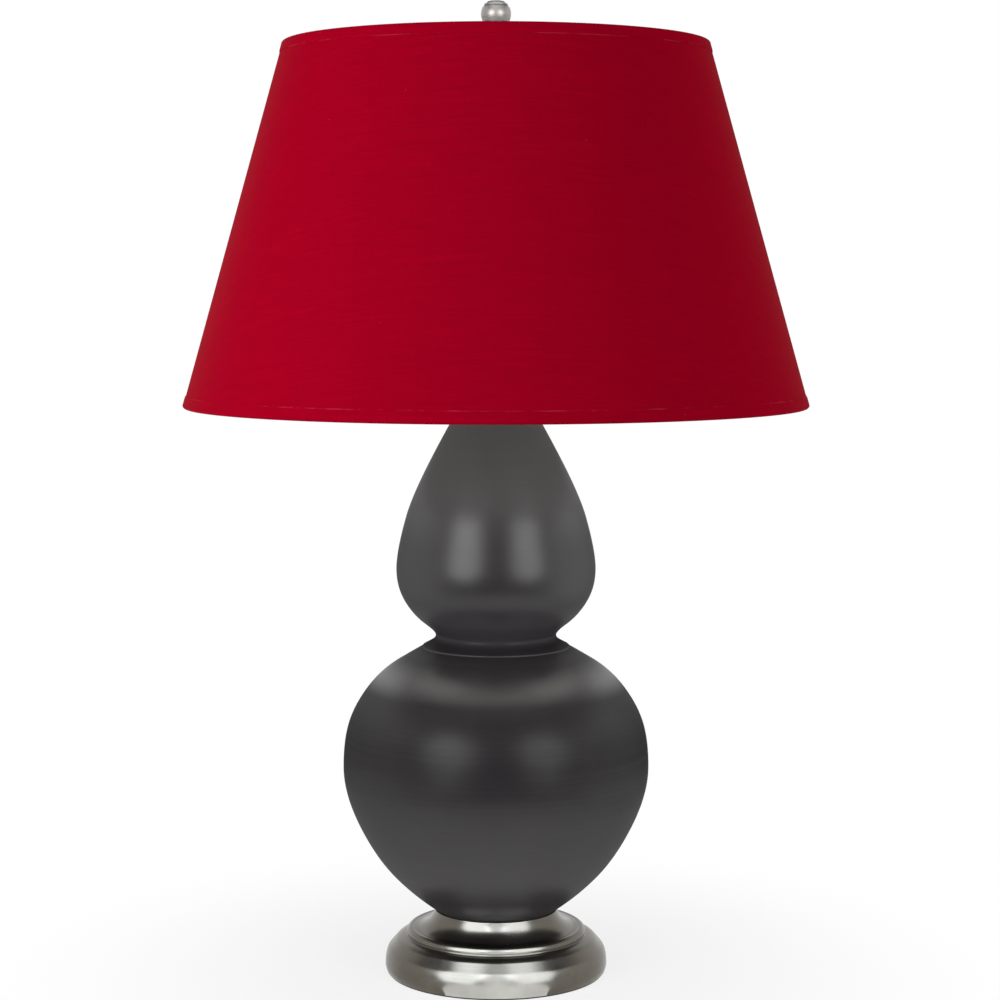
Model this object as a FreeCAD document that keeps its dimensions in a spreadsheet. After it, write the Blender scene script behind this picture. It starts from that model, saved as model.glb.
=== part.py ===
import FreeCAD, Part
import math
import os
from types import SimpleNamespace

import Sketcher
from FreeCAD import Placement, Rotation, Vector

# Double gourd table lamp: a hollow glazed ceramic body with two swellings stands on a turned metal foot,
# a threaded pipe clamps both together, and a harp above the socket carries a tapered drum shade
# under a ball finial. Millimetres, +Z up, the origin where the lamp's axis meets the table.
# -Y is the front. The harp lies in the XZ plane, the switch knob looks to the front
# and the cord leaves at the back.

DRIVING_SIZES = [
    # Pad, card and metal foot; widths step outwards from the seat, heights step up from the bottom edge.
    ("pad_thick", 1.5, "felt pad's thickness"),
    ("pad_inset", 1.2, "how far the felt stays inside the foot's edge"),
    ("card_thick", 2.0, "stiff card that closes the foot"),
    ("foot_wall", 3.4, "metal foot's wall"),
    ("foot_seat_thick", 3.0, "plate under the ceramic body"),
    ("seat_margin", 0.4, "foot's seat beyond the ceramic body's foot"),
    ("cove_width", 16.3, "hollow cove, from the seat outwards"),
    ("cove_step", 0.9, "little step between cove and bead"),
    ("bead_width", 5.4, "bead"),
    ("notch_width", 0.7, "notch under the bead"),
    ("dome_shoulder_width", 9.1, "big round, its shoulder"),
    ("dome_flank_width", 5.4, "big round, its flank"),
    ("dome_swell", 2.6, "big round, from its flank to its widest"),
    ("edge_tuck", 1.2, "how far the bottom edge turns in"),
    ("edge_rise", 4.4, "bottom edge, up to the widest radius"),
    ("dome_belly_rise", 10.7, "big round, up to its flank"),
    ("dome_flank_rise", 8.2, "big round, height of its flank"),
    ("dome_shoulder_rise", 6.0, "big round, height of its shoulder"),
    ("notch_rise", 1.2, "notch under the bead"),
    ("bead_rise", 5.0, "bead"),
    ("bead_bulge", 1.6, "how far the bead swells past a straight bevel"),
    ("cove_rise", 14.8, "hollow cove, up to the seat"),
    ("cove_hollow_in", 11.7, "deepest part of the cove, inside its outer edge"),
    ("cove_hollow_rise", 5.4, "deepest part of the cove, above the bead"),
    # Cord outlet at the back of the foot.
    ("outlet_height", 8.0, "centre of the cord outlet above the foot's edge"),
    ("outlet_bore", 3.6, "bore radius for the cord"),
    ("outlet_wall", 1.1, "bushing's tube wall"),
    ("outlet_flange_radius", 5.6, "bushing's flange"),
    ("outlet_flange_thick", 2.0, "bushing's flange"),
    ("outlet_depth", 12.0, "bushing, flange face to inner end"),
    ("outlet_recess", 3.0, "flat land for the flange, inside the foot's widest radius"),
    # Ceramic body: radii of its control corners, and how far each lies above the one before.
    ("body_wall", 6.0, "ceramic wall"),
    ("body_floor", 7.0, "ceramic floor"),
    ("floor_hole_radius", 14.0, "hole in the ceramic floor"),
    ("body_foot_radius", 49.8, "ceramic body at its foot"),
    ("taper_radius", 68.7, "rise out of the foot"),
    ("taper_rise", 12.9, "rise out of the foot"),
    ("flank_radius", 99.4, "lower flank"),
    ("flank_rise", 32.4, "lower flank"),
    ("belly_radius", 124.1, "lower belly, the widest part"),
    ("belly_rise", 51.2, "up to the lower belly"),
    ("belly_length", 41.3, "upright stretch of the lower belly"),
    ("shoulder_radius", 115.9, "lower shoulder"),
    ("shoulder_rise", 28.0, "lower shoulder"),
    ("slope_radius", 94.7, "slope over the shoulder"),
    ("slope_rise", 28.6, "slope over the shoulder"),
    ("collar_radius", 59.7, "fine raised line below the waist"),
    ("collar_rise", 21.3, "up to the fine raised line"),
    ("collar_step", 1.0, "height of the fine raised line"),
    ("waist_radius", 48.8, "waist between the two swellings"),
    ("waist_rise", 6.1, "up to the waist"),
    ("waist_length", 6.2, "upright stretch of the waist"),
    ("cup_radius", 67.6, "underside of the upper swelling"),
    ("cup_rise", 14.1, "underside of the upper swelling"),
    ("crown_radius", 80.6, "upper swelling, its widest part"),
    ("crown_rise", 22.4, "up to the upper swelling's widest part"),
    ("crown_length", 28.7, "upright stretch of the upper swelling"),
    ("neck_radius", 64.3, "long taper to the mouth"),
    ("neck_rise", 56.9, "long taper to the mouth"),
    ("mouth_radius", 22.0, "ceramic mouth, outside"),
    ("mouth_rise", 72.6, "up to the ceramic mouth"),
    ("gasket_thick", 0.8, "rubber rings under and over the ceramic"),
    ("gasket_inset", 1.2, "how far the rubber rings stay inside the ceramic"),
    # Threaded pipe and its nuts.
    ("pipe_radius", 4.95, "lamp pipe, outside"),
    ("pipe_bore", 3.2, "lamp pipe, bore"),
    ("pipe_clearance", 0.05, "radial play of everything threaded on the pipe"),
    ("pipe_tail", 3.6, "pipe below the bottom nut"),
    ("nut_flats", 14.3, "hexagon nuts, across the flats"),
    ("bottom_nut_thick", 5.0, "nut inside the foot"),
    ("washer_radius", 16.0, "washer inside the foot"),
    ("washer_thick", 1.6, "washer inside the foot"),
    # Vase cap and neck.
    ("cap_radius", 24.4, "vase cap"),
    ("cap_edge", 2.2, "vase cap's edge"),
    ("cap_height", 10.0, "vase cap"),
    ("cap_hub_radius", 9.6, "vase cap's hub"),
    ("neck_tube_radius", 8.0, "spacer tube, outside"),
    ("neck_tube_height", 8.0, "spacer tube"),
    # Harp saddle, harp and its sleeves.
    ("saddle_thick", 1.6, "saddle strip"),
    ("saddle_width", 13.0, "saddle strip"),
    ("harp_half_width", 36.0, "lamp's axis to a harp leg"),
    ("trough_height", 12.0, "trough that takes a harp leg"),
    ("trough_wall", 1.1, "trough's wall"),
    ("saddle_nut_thick", 3.0, "nut over the saddle"),
    ("wire_radius", 1.7, "harp wire"),
    ("wire_clearance", 0.06, "harp leg in its trough"),
    ("leg_corner", 50.0, "height where the harp leg leans out"),
    ("bow_corner", 96.0, "height where the harp runs upright again"),
    ("bow_half_width", 58.0, "harp at its widest"),
    ("arch_drop", 64.0, "harp's shoulder below its crown"),
    ("arch_half_width", 31.0, "half of the harp's flat crown"),
    ("leg_bend", 60.0, "bend radius of the legs"),
    ("shoulder_bend", 55.0, "bend radius of the shoulders"),
    ("crown_bend", 27.0, "bend radius at the crown"),
    ("sleeve_wall", 1.3, "locking sleeve"),
    ("sleeve_clearance", 0.1, "locking sleeve over the trough"),
    ("sleeve_height", 12.0, "locking sleeve"),
    ("sleeve_taper", 3.0, "tapered top of the locking sleeve"),
    ("boss_radius", 7.0, "boss on the harp's crown"),
    ("boss_height", 8.0, "boss on the harp's crown"),
    ("stud_radius", 3.1, "stud for the finial"),
    ("stud_length", 13.0, "stud for the finial"),
    # Socket; heights count from the socket's own bottom.
    ("hub_radius", 7.6, "socket cap's hub"),
    ("hub_height", 6.0, "socket cap's hub"),
    ("socket_cap_height", 22.0, "socket cap"),
    ("socket_cap_wall", 0.6, "socket cap"),
    ("cap_overlap", 4.0, "how deep the shell sits in the socket cap"),
    ("shell_height", 42.0, "socket shell"),
    ("shell_wall", 0.5, "socket shell"),
    ("sleeve_gap", 0.1, "play between the nested socket parts"),
    ("fibre_wall", 0.6, "fibre sleeve inside the shell"),
    ("core_low", 10.0, "bridge of the socket core"),
    ("core_bridge_radius", 10.0, "bridge of the socket core"),
    ("core_height", 16.0, "socket core above its bridge"),
    ("core_lip", 0.7, "socket core beyond the screw shell"),
    ("thread_bore", 13.4, "screw shell, inside"),
    ("thread_wall", 0.5, "screw shell"),
    ("thread_height", 24.0, "screw shell"),
    ("contact_radius", 3.6, "spring contact in the socket"),
    ("contact_thick", 0.8, "spring contact in the socket"),
    ("terminal_head", 3.0, "terminal screw head radius"),
    ("terminal_head_thick", 1.8, "terminal screw head"),
    ("terminal_shank", 1.5, "terminal screw shank radius"),
    ("terminal_length", 5.0, "terminal screw in the core"),
    ("set_screw_radius", 1.5, "set screw in the socket cap's hub"),
    ("set_screw_length", 2.8, "set screw in the socket cap's hub"),
    ("switch_height", 27.6, "switch shaft above the socket's bottom"),
    ("switch_shaft_radius", 1.8, "switch shaft"),
    ("switch_shaft_play", 0.08, "switch shaft in the core"),
    ("switch_hole_radius", 2.6, "hole in shell and fibre for the switch"),
    ("switch_reach", 25.0, "switch shaft, lamp's axis to its end"),
    ("switch_root", 5.0, "lamp's axis to the inner end of the shaft"),
    ("knob_start", 18.0, "lamp's axis to the knob"),
    ("knob_length", 13.0, "switch knob"),
    ("knob_radius", 5.6, "switch knob"),
    ("knob_flute_radius", 1.1, "grooves round the switch knob"),
    ("knob_flutes", 12, "number of grooves round the switch knob"),
    # Bulb.
    ("bulb_gap", 0.2, "bulb's contact above the spring contact"),
    ("bulb_tip_radius", 4.2, "bulb's contact"),
    ("bulb_collar_rise", 3.6, "from the bulb's contact to its screw cap"),
    ("bulb_play", 0.08, "bulb's screw cap in the screw shell"),
    ("bulb_cap_height", 22.9, "bulb's screw cap"),
    ("bulb_neck_height", 12.5, "glass neck above the screw cap"),
    ("bulb_radius", 30.0, "glass at its widest"),
    ("bulb_swell_height", 38.0, "from the glass neck to the widest part"),
    ("bulb_wall", 1.0, "glass"),
    # Shade; radii are those of the cloth's outside.
    ("shade_low", 462.7, "lowest edge of the shade above the table"),
    ("shade_high", 750.9, "highest edge of the shade above the table"),
    ("shade_low_radius", 250.2, "shade at its lowest edge"),
    ("shade_high_radius", 168.7, "shade at its highest edge"),
    ("cloth_thick", 0.6, "shade cloth"),
    ("liner_thick", 0.8, "stiff liner"),
    ("glue_gap", 0.15, "glue between cloth, liner and hems"),
    ("hem_thick", 0.5, "hem tape"),
    ("low_hem_height", 9.6, "lower hem"),
    ("high_hem_height", 8.4, "upper hem"),
    ("ring_radius", 1.3, "wire rings in the hems"),
    ("hem_play", 0.45, "hem round its wire ring"),
    ("hem_return", 6.6, "height where the hem meets the liner again"),
    ("seam_angle", 2.4, "lap seam at the back, in degrees"),
    ("seam_thick", 0.35, "lap seam"),
    ("spider_drop", 6.4, "washer's underside below the shade's top edge"),
    ("spider_washer_radius", 15.0, "washer under the finial"),
    ("spider_washer_thick", 1.5, "washer under the finial"),
    ("spider_washer_play", 0.3, "washer round the stud"),
    ("spider_arm_radius", 1.4, "shade arms"),
    ("spider_flat", 38.0, "where the arms start to rise"),
    ("spider_bend", 30.0, "bend radius of the arms"),
    ("weld_gap", 0.05, "arms' ends short of washer and ring"),
    ("arm_notch_play", 0.5, "notch in the hem round an arm"),
    # Finial; heights count from its own bottom.
    ("finial_bore_play", 0.05, "finial on the stud"),
    ("finial_bore_spare", 1.4, "bore beyond the stud's end"),
    ("finial_base_radius", 8.2, "finial's foot"),
    ("finial_base_height", 2.4, "finial's foot"),
    ("finial_stem_radius", 5.0, "finial's stem"),
    ("finial_stem_height", 9.5, "finial's stem, its narrowest height"),
    ("ball_radius", 12.0, "ball of the finial"),
    ("ball_centre", 27.8, "ball's centre"),
    ("ball_groove_low", 6.3, "lower groove of a half, from the ball's centre"),
    ("ball_groove_high", 9.2, "upper groove of a half, from the ball's centre"),
    ("ball_groove_depth", 0.8, "grooves of the ball"),
    ("ball_groove_width", 1.2, "grooves of the ball"),
    ("button_radius", 3.1, "button on top of the ball"),
    ("button_height", 2.7, "button above the ball's cut top"),
]

SHEET = "Sizes"
FULL_TURN = 360.0
ARM_COUNT = 3
FOLD_FLATS = 7

doc = FreeCAD.newDocument("double_gourd_lamp")
pieces = []


class Size:
    """A length known both as a number and as the expression that gives it."""

    def __init__(self, text, number):
        self.text = text
        self.number = number

    def __add__(self, other):
        return joined(self, "+", other, self.number + number_of(other))

    def __radd__(self, other):
        return sized(other) + self

    def __sub__(self, other):
        return joined(self, "-", other, self.number - number_of(other))

    def __rsub__(self, other):
        return sized(other) - self

    def __mul__(self, other):
        return joined(self, "*", other, self.number * number_of(other))

    def __rmul__(self, other):
        return sized(other) * self

    def __truediv__(self, other):
        return joined(self, "/", other, self.number / number_of(other))

    def __neg__(self):
        return 0.0 - self


def number_of(value):
    return value.number if isinstance(value, Size) else float(value)


def sized(value):
    return value if isinstance(value, Size) else Size(repr(float(value)), float(value))


def joined(left, sign, right, number):
    return Size(f"({sized(left).text} {sign} {sized(right).text})", number)


def root(size):
    return Size(f"sqrt({size.text})", math.sqrt(size.number))


def write_sheet():
    """Writes every driving size to the sheet and returns them by name."""
    sheet = doc.addObject("Spreadsheet::Sheet", SHEET)
    for row, (name, value, note) in enumerate(DRIVING_SIZES, start=1):
        sheet.set(f"A{row}", name)
        sheet.set(f"B{row}", str(value))
        sheet.set(f"C{row}", note)
        sheet.setAlias(f"B{row}", name)
    doc.recompute()
    named = {name: Size(f"{SHEET}.{name}", float(value)) for name, value, _ in DRIVING_SIZES}
    return SimpleNamespace(**named)


S = write_sheet()

# Radii of the foot, from the seat outwards, and its levels above the table.
SEAT_RADIUS = S.body_foot_radius + S.seat_margin
COVE_RADIUS = SEAT_RADIUS + S.cove_width
BEAD_TOP_RADIUS = COVE_RADIUS + S.cove_step
BEAD_RADIUS = BEAD_TOP_RADIUS + S.bead_width
DOME_END_RADIUS = BEAD_RADIUS + S.notch_width
DOME_CREST_RADIUS = DOME_END_RADIUS + S.dome_shoulder_width
DOME_BELLY_RADIUS = DOME_CREST_RADIUS + S.dome_flank_width
FOOT_RADIUS = DOME_BELLY_RADIUS + S.dome_swell
FOOT_EDGE_RADIUS = FOOT_RADIUS - S.edge_tuck
FOOT_BOTTOM = S.pad_thick
DOME_START = FOOT_BOTTOM + S.edge_rise
DOME_BELLY = DOME_START + S.dome_belly_rise
DOME_CREST = DOME_BELLY + S.dome_flank_rise
DOME_END = DOME_CREST + S.dome_shoulder_rise
BEAD_BOTTOM = DOME_END + S.notch_rise
BEAD_TOP = BEAD_BOTTOM + S.bead_rise
FOOT_TOP = BEAD_TOP + S.cove_rise
OUTLET_LEVEL = FOOT_BOTTOM + S.outlet_height
OUTLET_LAND = FOOT_RADIUS - S.outlet_recess
OUTLET_TUBE = S.outlet_bore + S.outlet_wall

# Levels of the ceramic body and of everything that the pipe clamps on it.
BODY_BOTTOM = FOOT_TOP + S.gasket_thick
BELLY_LEVEL = BODY_BOTTOM + S.taper_rise + S.flank_rise + S.belly_rise
SLOPE_LEVEL = BELLY_LEVEL + S.belly_length + S.shoulder_rise + S.slope_rise
COLLAR_LEVEL = SLOPE_LEVEL + S.collar_rise
WAIST_LEVEL = COLLAR_LEVEL + S.waist_rise
CROWN_LEVEL = WAIST_LEVEL + S.waist_length + S.cup_rise + S.crown_rise
BODY_TOP = CROWN_LEVEL + S.crown_length + S.neck_rise + S.mouth_rise
CAP_BOTTOM = BODY_TOP + S.gasket_thick
CAP_TOP = CAP_BOTTOM + S.cap_height
SADDLE_BOTTOM = CAP_TOP + S.neck_tube_height
SADDLE_TOP = SADDLE_BOTTOM + S.saddle_thick

# The socket's nested radii, from the screw shell outwards, and its levels.
THREAD_OUTSIDE = S.thread_bore + S.thread_wall
CORE_RADIUS = THREAD_OUTSIDE + S.core_lip
FIBRE_INSIDE = CORE_RADIUS + S.sleeve_gap
FIBRE_OUTSIDE = FIBRE_INSIDE + S.fibre_wall
SHELL_INSIDE = FIBRE_OUTSIDE + S.sleeve_gap
SHELL_OUTSIDE = SHELL_INSIDE + S.shell_wall
SOCKET_CAP_INSIDE = SHELL_OUTSIDE + S.sleeve_gap
SOCKET_CAP_RADIUS = SOCKET_CAP_INSIDE + S.socket_cap_wall
SOCKET_BOTTOM = SADDLE_TOP + S.saddle_nut_thick
HUB_TOP = SOCKET_BOTTOM + S.hub_height
SOCKET_CAP_TOP = SOCKET_BOTTOM + S.socket_cap_height
SHELL_BOTTOM = SOCKET_CAP_TOP - S.cap_overlap
SHELL_TOP = SHELL_BOTTOM + S.shell_height
CORE_TOP = SHELL_BOTTOM + S.core_height
SWITCH_LEVEL = SOCKET_BOTTOM + S.switch_height
SET_SCREW_LEVEL = SOCKET_BOTTOM + S.set_screw_radius + S.socket_cap_wall
TERMINAL_LEVEL = SOCKET_BOTTOM + S.core_low + S.terminal_head + S.terminal_shank / 2

# Bulb.
BULB_CAP_RADIUS = S.thread_bore - S.bulb_play
BULB_NECK_RADIUS = BULB_CAP_RADIUS - S.thread_wall - S.bulb_play * 5
BULB_BOTTOM = CORE_TOP + S.contact_thick + S.bulb_gap
BULB_COLLAR = BULB_BOTTOM + S.bulb_collar_rise
BULB_CAP_TOP = BULB_COLLAR + S.bulb_cap_height
BULB_NECK_TOP = BULB_CAP_TOP + S.bulb_neck_height
BULB_CENTRE = BULB_NECK_TOP + S.bulb_swell_height

# Harp and shade.
WASHER_UNDERSIDE = S.shade_high - S.spider_drop
HARP_CROWN = WASHER_UNDERSIDE - S.boss_height / 2
FINIAL_BOTTOM = WASHER_UNDERSIDE + S.spider_washer_thick
PIPE_HOLE = S.pipe_radius + S.pipe_clearance
TROUGH_BORE = S.wire_radius + S.wire_clearance
TROUGH_OUTSIDE = TROUGH_BORE + S.trough_wall
SLEEVE_BORE = TROUGH_OUTSIDE + S.sleeve_clearance
SLEEVE_OUTSIDE = SLEEVE_BORE + S.sleeve_wall
HEM_BORE = S.ring_radius + S.hem_play


# ---------------------------------------------------------------- drawing


def spot(corner):
    across, up = corner
    return Vector(number_of(across), number_of(up), 0)


def hold_one(sketch, kind, edge, end, size):
    """Holds one coordinate of a point: on the axis where it is nothing, else at its size."""
    size = sized(size)
    if abs(size.number) < 1e-9:
        axis = -2 if kind == "DistanceX" else -1
        sketch.addConstraint(Sketcher.Constraint("PointOnObject", edge, end, axis))
        return
    index = sketch.addConstraint(Sketcher.Constraint(kind, -1, 1, edge, end, size.number))
    name = f"{kind}_{index}"
    sketch.renameConstraint(index, name)
    sketch.setExpression(f"Constraints.{name}", size.text)


def hold(sketch, edge, end, corner):
    hold_one(sketch, "DistanceX", edge, end, corner[0])
    hold_one(sketch, "DistanceY", edge, end, corner[1])


def hold_radius(sketch, edge, size):
    index = sketch.addConstraint(Sketcher.Constraint("Radius", edge, number_of(size)))
    name = f"Radius_{index}"
    sketch.renameConstraint(index, name)
    sketch.setExpression(f"Constraints.{name}", sized(size).text)


class Outline:
    """A closed outline drawn edge by edge; every corner is held by two sizes."""

    def __init__(self, sketch, start):
        self.sketch = sketch
        self.start = start
        self.here = start
        self.edges = []

    def _add(self, edge, first, last, corner):
        if self.edges:
            before, _, before_last = self.edges[-1]
            self.sketch.addConstraint(Sketcher.Constraint("Coincident", before, before_last, edge, first))
        self.edges.append((edge, first, last))
        self.here = corner

    def line(self, *corners):
        for corner in corners:
            edge = self.sketch.addGeometry(Part.LineSegment(spot(self.here), spot(corner)), False)
            hold(self.sketch, edge, 2, corner)
            self._add(edge, 1, 2, corner)
        return self

    def arc(self, middle, corner):
        """An arc through a middle point, which is held as the corner is."""
        curve = Part.Arc(spot(self.here), spot(middle), spot(corner))
        edge = self.sketch.addGeometry(curve, False)
        starts_here = self.sketch.getPoint(edge, 1).distanceToPoint(spot(self.here)) < 1e-6
        first, last = (1, 2) if starts_here else (2, 1)
        hold(self.sketch, edge, last, corner)
        on_the_way = self.sketch.addGeometry(Part.Point(spot(middle)), True)
        hold(self.sketch, on_the_way, 1, middle)
        self.sketch.addConstraint(Sketcher.Constraint("PointOnObject", on_the_way, 1, edge))
        self._add(edge, first, last, corner)
        return self

    def spline(self, *poles):
        """A smooth curve that touches the middle of every side of its control polygon."""
        points = [self.here, *poles]
        curve = Part.BSplineCurve([spot(p) for p in points], None, None, False, 2, None, False)
        edge = self.sketch.addGeometry(curve, False)
        circles = []
        for index, point in enumerate(points):
            circle = self.sketch.addGeometry(Part.Circle(spot(point), Vector(0, 0, 1), 1.0), True)
            circles.append(circle)
            kind = "InternalAlignment:Sketcher::BSplineControlPoint"
            self.sketch.addConstraint(Sketcher.Constraint(kind, circle, 3, edge, index))
            if index:
                self.sketch.addConstraint(Sketcher.Constraint("Equal", circles[0], circle))
            else:
                self.sketch.addConstraint(Sketcher.Constraint("Weight", circle, 1.0))
        for circle, point in zip(circles[1:], poles):
            hold(self.sketch, circle, 3, point)
        self._add(edge, 1, 2, poles[-1])
        return self

    def close(self):
        edge = self.sketch.addGeometry(Part.LineSegment(spot(self.here), spot(self.start)), False)
        hold(self.sketch, edge, 2, self.start)
        self._add(edge, 1, 2, self.start)
        first_edge, first_end, _ = self.edges[0]
        self.sketch.addConstraint(Sketcher.Constraint("Coincident", edge, 2, first_edge, first_end))


def new_body(label):
    body = doc.addObject("PartDesign::Body", label)
    body.Label = label
    return body


def keep(item):
    """Marks an object as a finished piece of the lamp."""
    pieces.append(item)
    return item


def new_sketch(body, name, role="XZ_Plane", offset=None):
    """A sketch on one of the body's own planes, moved along the plane's normal by the offset."""
    sketch = body.newObject("Sketcher::SketchObject", name)
    plane = next(f for f in body.Origin.OriginFeatures if f.Role == role)
    sketch.AttachmentSupport = [(plane, "")]
    sketch.MapMode = "FlatFace"
    if offset is not None:
        sketch.AttachmentOffset = Placement(Vector(0, 0, number_of(offset)), Rotation())
        sketch.setExpression("AttachmentOffset.Base.z", sized(offset).text)
    return sketch


def turn(body, sketch, angle=FULL_TURN):
    """Turns an outline round the upright axis."""
    solid = body.newObject("PartDesign::Revolution", "Turning")
    solid.Profile = sketch
    solid.ReferenceAxis = (sketch, ["V_Axis"])
    solid.Angle = number_of(angle)
    if isinstance(angle, Size):
        solid.setExpression("Angle", angle.text)
    return solid


def turned(label, draw, angle=FULL_TURN):
    """A piece turned round the lamp's axis from the outline that draw makes."""
    body = new_body(label)
    sketch = new_sketch(body, "TurningOutline")
    draw(sketch)
    turn(body, sketch, angle)
    return body


def ring(label, inside, outside, bottom, top):
    """A plain ring or tube with a square section."""

    def draw(sketch):
        outline = Outline(sketch, (inside, bottom))
        outline.line((outside, bottom), (outside, top), (inside, top)).close()

    return turned(label, draw)


def disc(label, radius, bottom, top):
    return ring(label, 0.0, radius, bottom, top)


def draw_circle(sketch, centre, radius):
    edge = sketch.addGeometry(Part.Circle(spot(centre), Vector(0, 0, 1), number_of(radius)), False)
    hold(sketch, edge, 3, centre)
    hold_radius(sketch, edge, radius)
    return edge


def pocket(body, sketch, length, away):
    """Cuts the sketch through a length, to the side of its plane that away gives, and shows that it cut."""
    doc.recompute()
    before = body.Shape.Volume
    cut = body.newObject("PartDesign::Pocket", "Cut")
    cut.Profile = sketch
    cut.Length = number_of(length)
    cut.setExpression("Length", sized(length).text)
    cut.Reversed = away
    doc.recompute()
    if body.Shape.Volume >= before:
        raise ValueError(f"a cut in {body.Label} removed nothing")
    return cut


def place(item, base, rotation=None):
    """Stands a piece at a place, each coordinate bound to its size."""
    item.Placement = Placement(Vector(*[number_of(b) for b in base]), rotation or Rotation())
    for axis, size in zip("xyz", base):
        if isinstance(size, Size):
            item.setExpression(f"Placement.Base.{axis}", size.text)
    return item


def bent_path(sketch, corners, bends):
    """Straight runs through the corners, joined by tangent arcs of the given radii."""
    points = [spot(c) for c in corners]
    runs = []
    for start, end in zip(points, points[1:]):
        runs.append([start, end])
    arcs = []
    for index, bend in enumerate(bends):
        before, corner, after = points[index], points[index + 1], points[index + 2]
        back = (before - corner).normalize()
        ahead = (after - corner).normalize()
        half = math.acos(back.dot(ahead)) / 2
        reach = number_of(bend) / math.tan(half)
        middle = corner + (back + ahead).normalize() * (number_of(bend) / math.sin(half) - number_of(bend))
        runs[index][1] = corner + back * reach
        runs[index + 1][0] = corner + ahead * reach
        arcs.append((runs[index][1], middle, runs[index + 1][0]))
    lines = [sketch.addGeometry(Part.LineSegment(a, b), False) for a, b in runs]
    marks = [sketch.addGeometry(Part.Point(p), True) for p in points[1:-1]]
    hold(sketch, lines[0], 1, corners[0])
    hold(sketch, lines[-1], 2, corners[-1])
    for mark, corner in zip(marks, corners[1:-1]):
        hold(sketch, mark, 1, corner)
    for index, mark in enumerate(marks):
        sketch.addConstraint(Sketcher.Constraint("PointOnObject", mark, 1, lines[index]))
        sketch.addConstraint(Sketcher.Constraint("PointOnObject", mark, 1, lines[index + 1]))
    for index, (start, middle, end) in enumerate(arcs):
        arc = sketch.addGeometry(Part.Arc(start, middle, end), False)
        starts_here = sketch.getPoint(arc, 1).distanceToPoint(start) < 1e-6
        first, last = (1, 2) if starts_here else (2, 1)
        sketch.addConstraint(Sketcher.Constraint("Tangent", lines[index], 2, arc, first))
        sketch.addConstraint(Sketcher.Constraint("Tangent", lines[index + 1], 1, arc, last))
        hold_radius(sketch, arc, bends[index])


def pipe_along(body, path, section):
    """Sweeps a round section along a path of runs and arcs."""
    sweep = body.newObject("PartDesign::AdditivePipe", "Wire")
    sweep.Profile = section
    sweep.Spine = path
    return sweep


def hexagon_nut(label, thick, bottom):
    """A hexagon nut on the lamp pipe."""
    blank = doc.addObject("Part::Prism", label + "_blank")
    blank.Polygon = 6
    blank.setExpression("Circumradius", (S.nut_flats / math.sqrt(3)).text)
    blank.setExpression("Height", thick.text)
    hole = doc.addObject("Part::Cylinder", label + "_hole")
    hole.setExpression("Radius", PIPE_HOLE.text)
    hole.setExpression("Height", thick.text)
    nut = doc.addObject("Part::Cut", label)
    nut.Base = blank
    nut.Tool = hole
    nut.Label = label
    return place(nut, (0, 0, bottom))


# ---------------------------------------------------------------- foot


def felt_pad():
    """Felt under the foot; the lamp rests on it."""
    return disc("felt_pad", FOOT_EDGE_RADIUS - S.pad_inset, 0.0, FOOT_BOTTOM)


def base_card():
    """Stiff card that closes the foot and carries the felt."""
    return disc("base_card", FOOT_EDGE_RADIUS - S.foot_wall * 1.6, FOOT_BOTTOM, FOOT_BOTTOM + S.card_thick)


def metal_foot():
    """Turned metal foot: a big round, a bead, a hollow cove and a flat seat, open underneath."""
    wall = S.foot_wall
    shoulder = (
        (DOME_CREST_RADIUS + DOME_END_RADIUS) / 2 + wall / 6,
        (DOME_CREST + DOME_END) / 2 + wall / 4,
    )
    bead = (
        (BEAD_RADIUS + BEAD_TOP_RADIUS) / 2 + S.bead_bulge,
        (BEAD_BOTTOM + BEAD_TOP) / 2 + S.bead_bulge,
    )
    cove_edge = (COVE_RADIUS, BEAD_TOP + S.cove_step / 3)
    hollow = (COVE_RADIUS - S.cove_hollow_in, BEAD_TOP + S.cove_hollow_rise)
    ceiling = FOOT_TOP - S.foot_seat_thick

    def draw(sketch):
        outline = Outline(sketch, (FOOT_EDGE_RADIUS, FOOT_BOTTOM))
        outline.line((FOOT_RADIUS, DOME_START))
        outline.arc((DOME_BELLY_RADIUS, DOME_BELLY), (DOME_CREST_RADIUS, DOME_CREST))
        outline.arc(shoulder, (DOME_END_RADIUS, DOME_END))
        outline.line((BEAD_RADIUS, BEAD_BOTTOM))
        outline.arc(bead, (BEAD_TOP_RADIUS, BEAD_TOP))
        outline.line(cove_edge)
        outline.arc(hollow, (SEAT_RADIUS, FOOT_TOP))
        outline.line((PIPE_HOLE, FOOT_TOP), (PIPE_HOLE, ceiling))
        outline.line((SEAT_RADIUS - wall, ceiling))
        outline.line((COVE_RADIUS - wall, BEAD_TOP - wall))
        outline.line((DOME_END_RADIUS - wall, DOME_END - wall))
        inner_crest = (DOME_CREST_RADIUS - wall * 1.2, DOME_CREST - wall)
        outline.arc(inner_crest, (FOOT_RADIUS - wall * 1.3, DOME_START))
        outline.line((FOOT_EDGE_RADIUS - wall * 1.5, FOOT_BOTTOM)).close()

    body = turned("metal_foot", draw)
    land = new_sketch(body, "OutletLand", offset=-OUTLET_LAND)
    draw_circle(land, (0.0, OUTLET_LEVEL), S.outlet_flange_radius + S.sleeve_gap)
    pocket(body, land, FOOT_RADIUS, False)
    hole = new_sketch(body, "OutletHole")
    draw_circle(hole, (0.0, OUTLET_LEVEL), OUTLET_TUBE + S.sleeve_gap)
    pocket(body, hole, FOOT_RADIUS, False)
    return body


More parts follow.
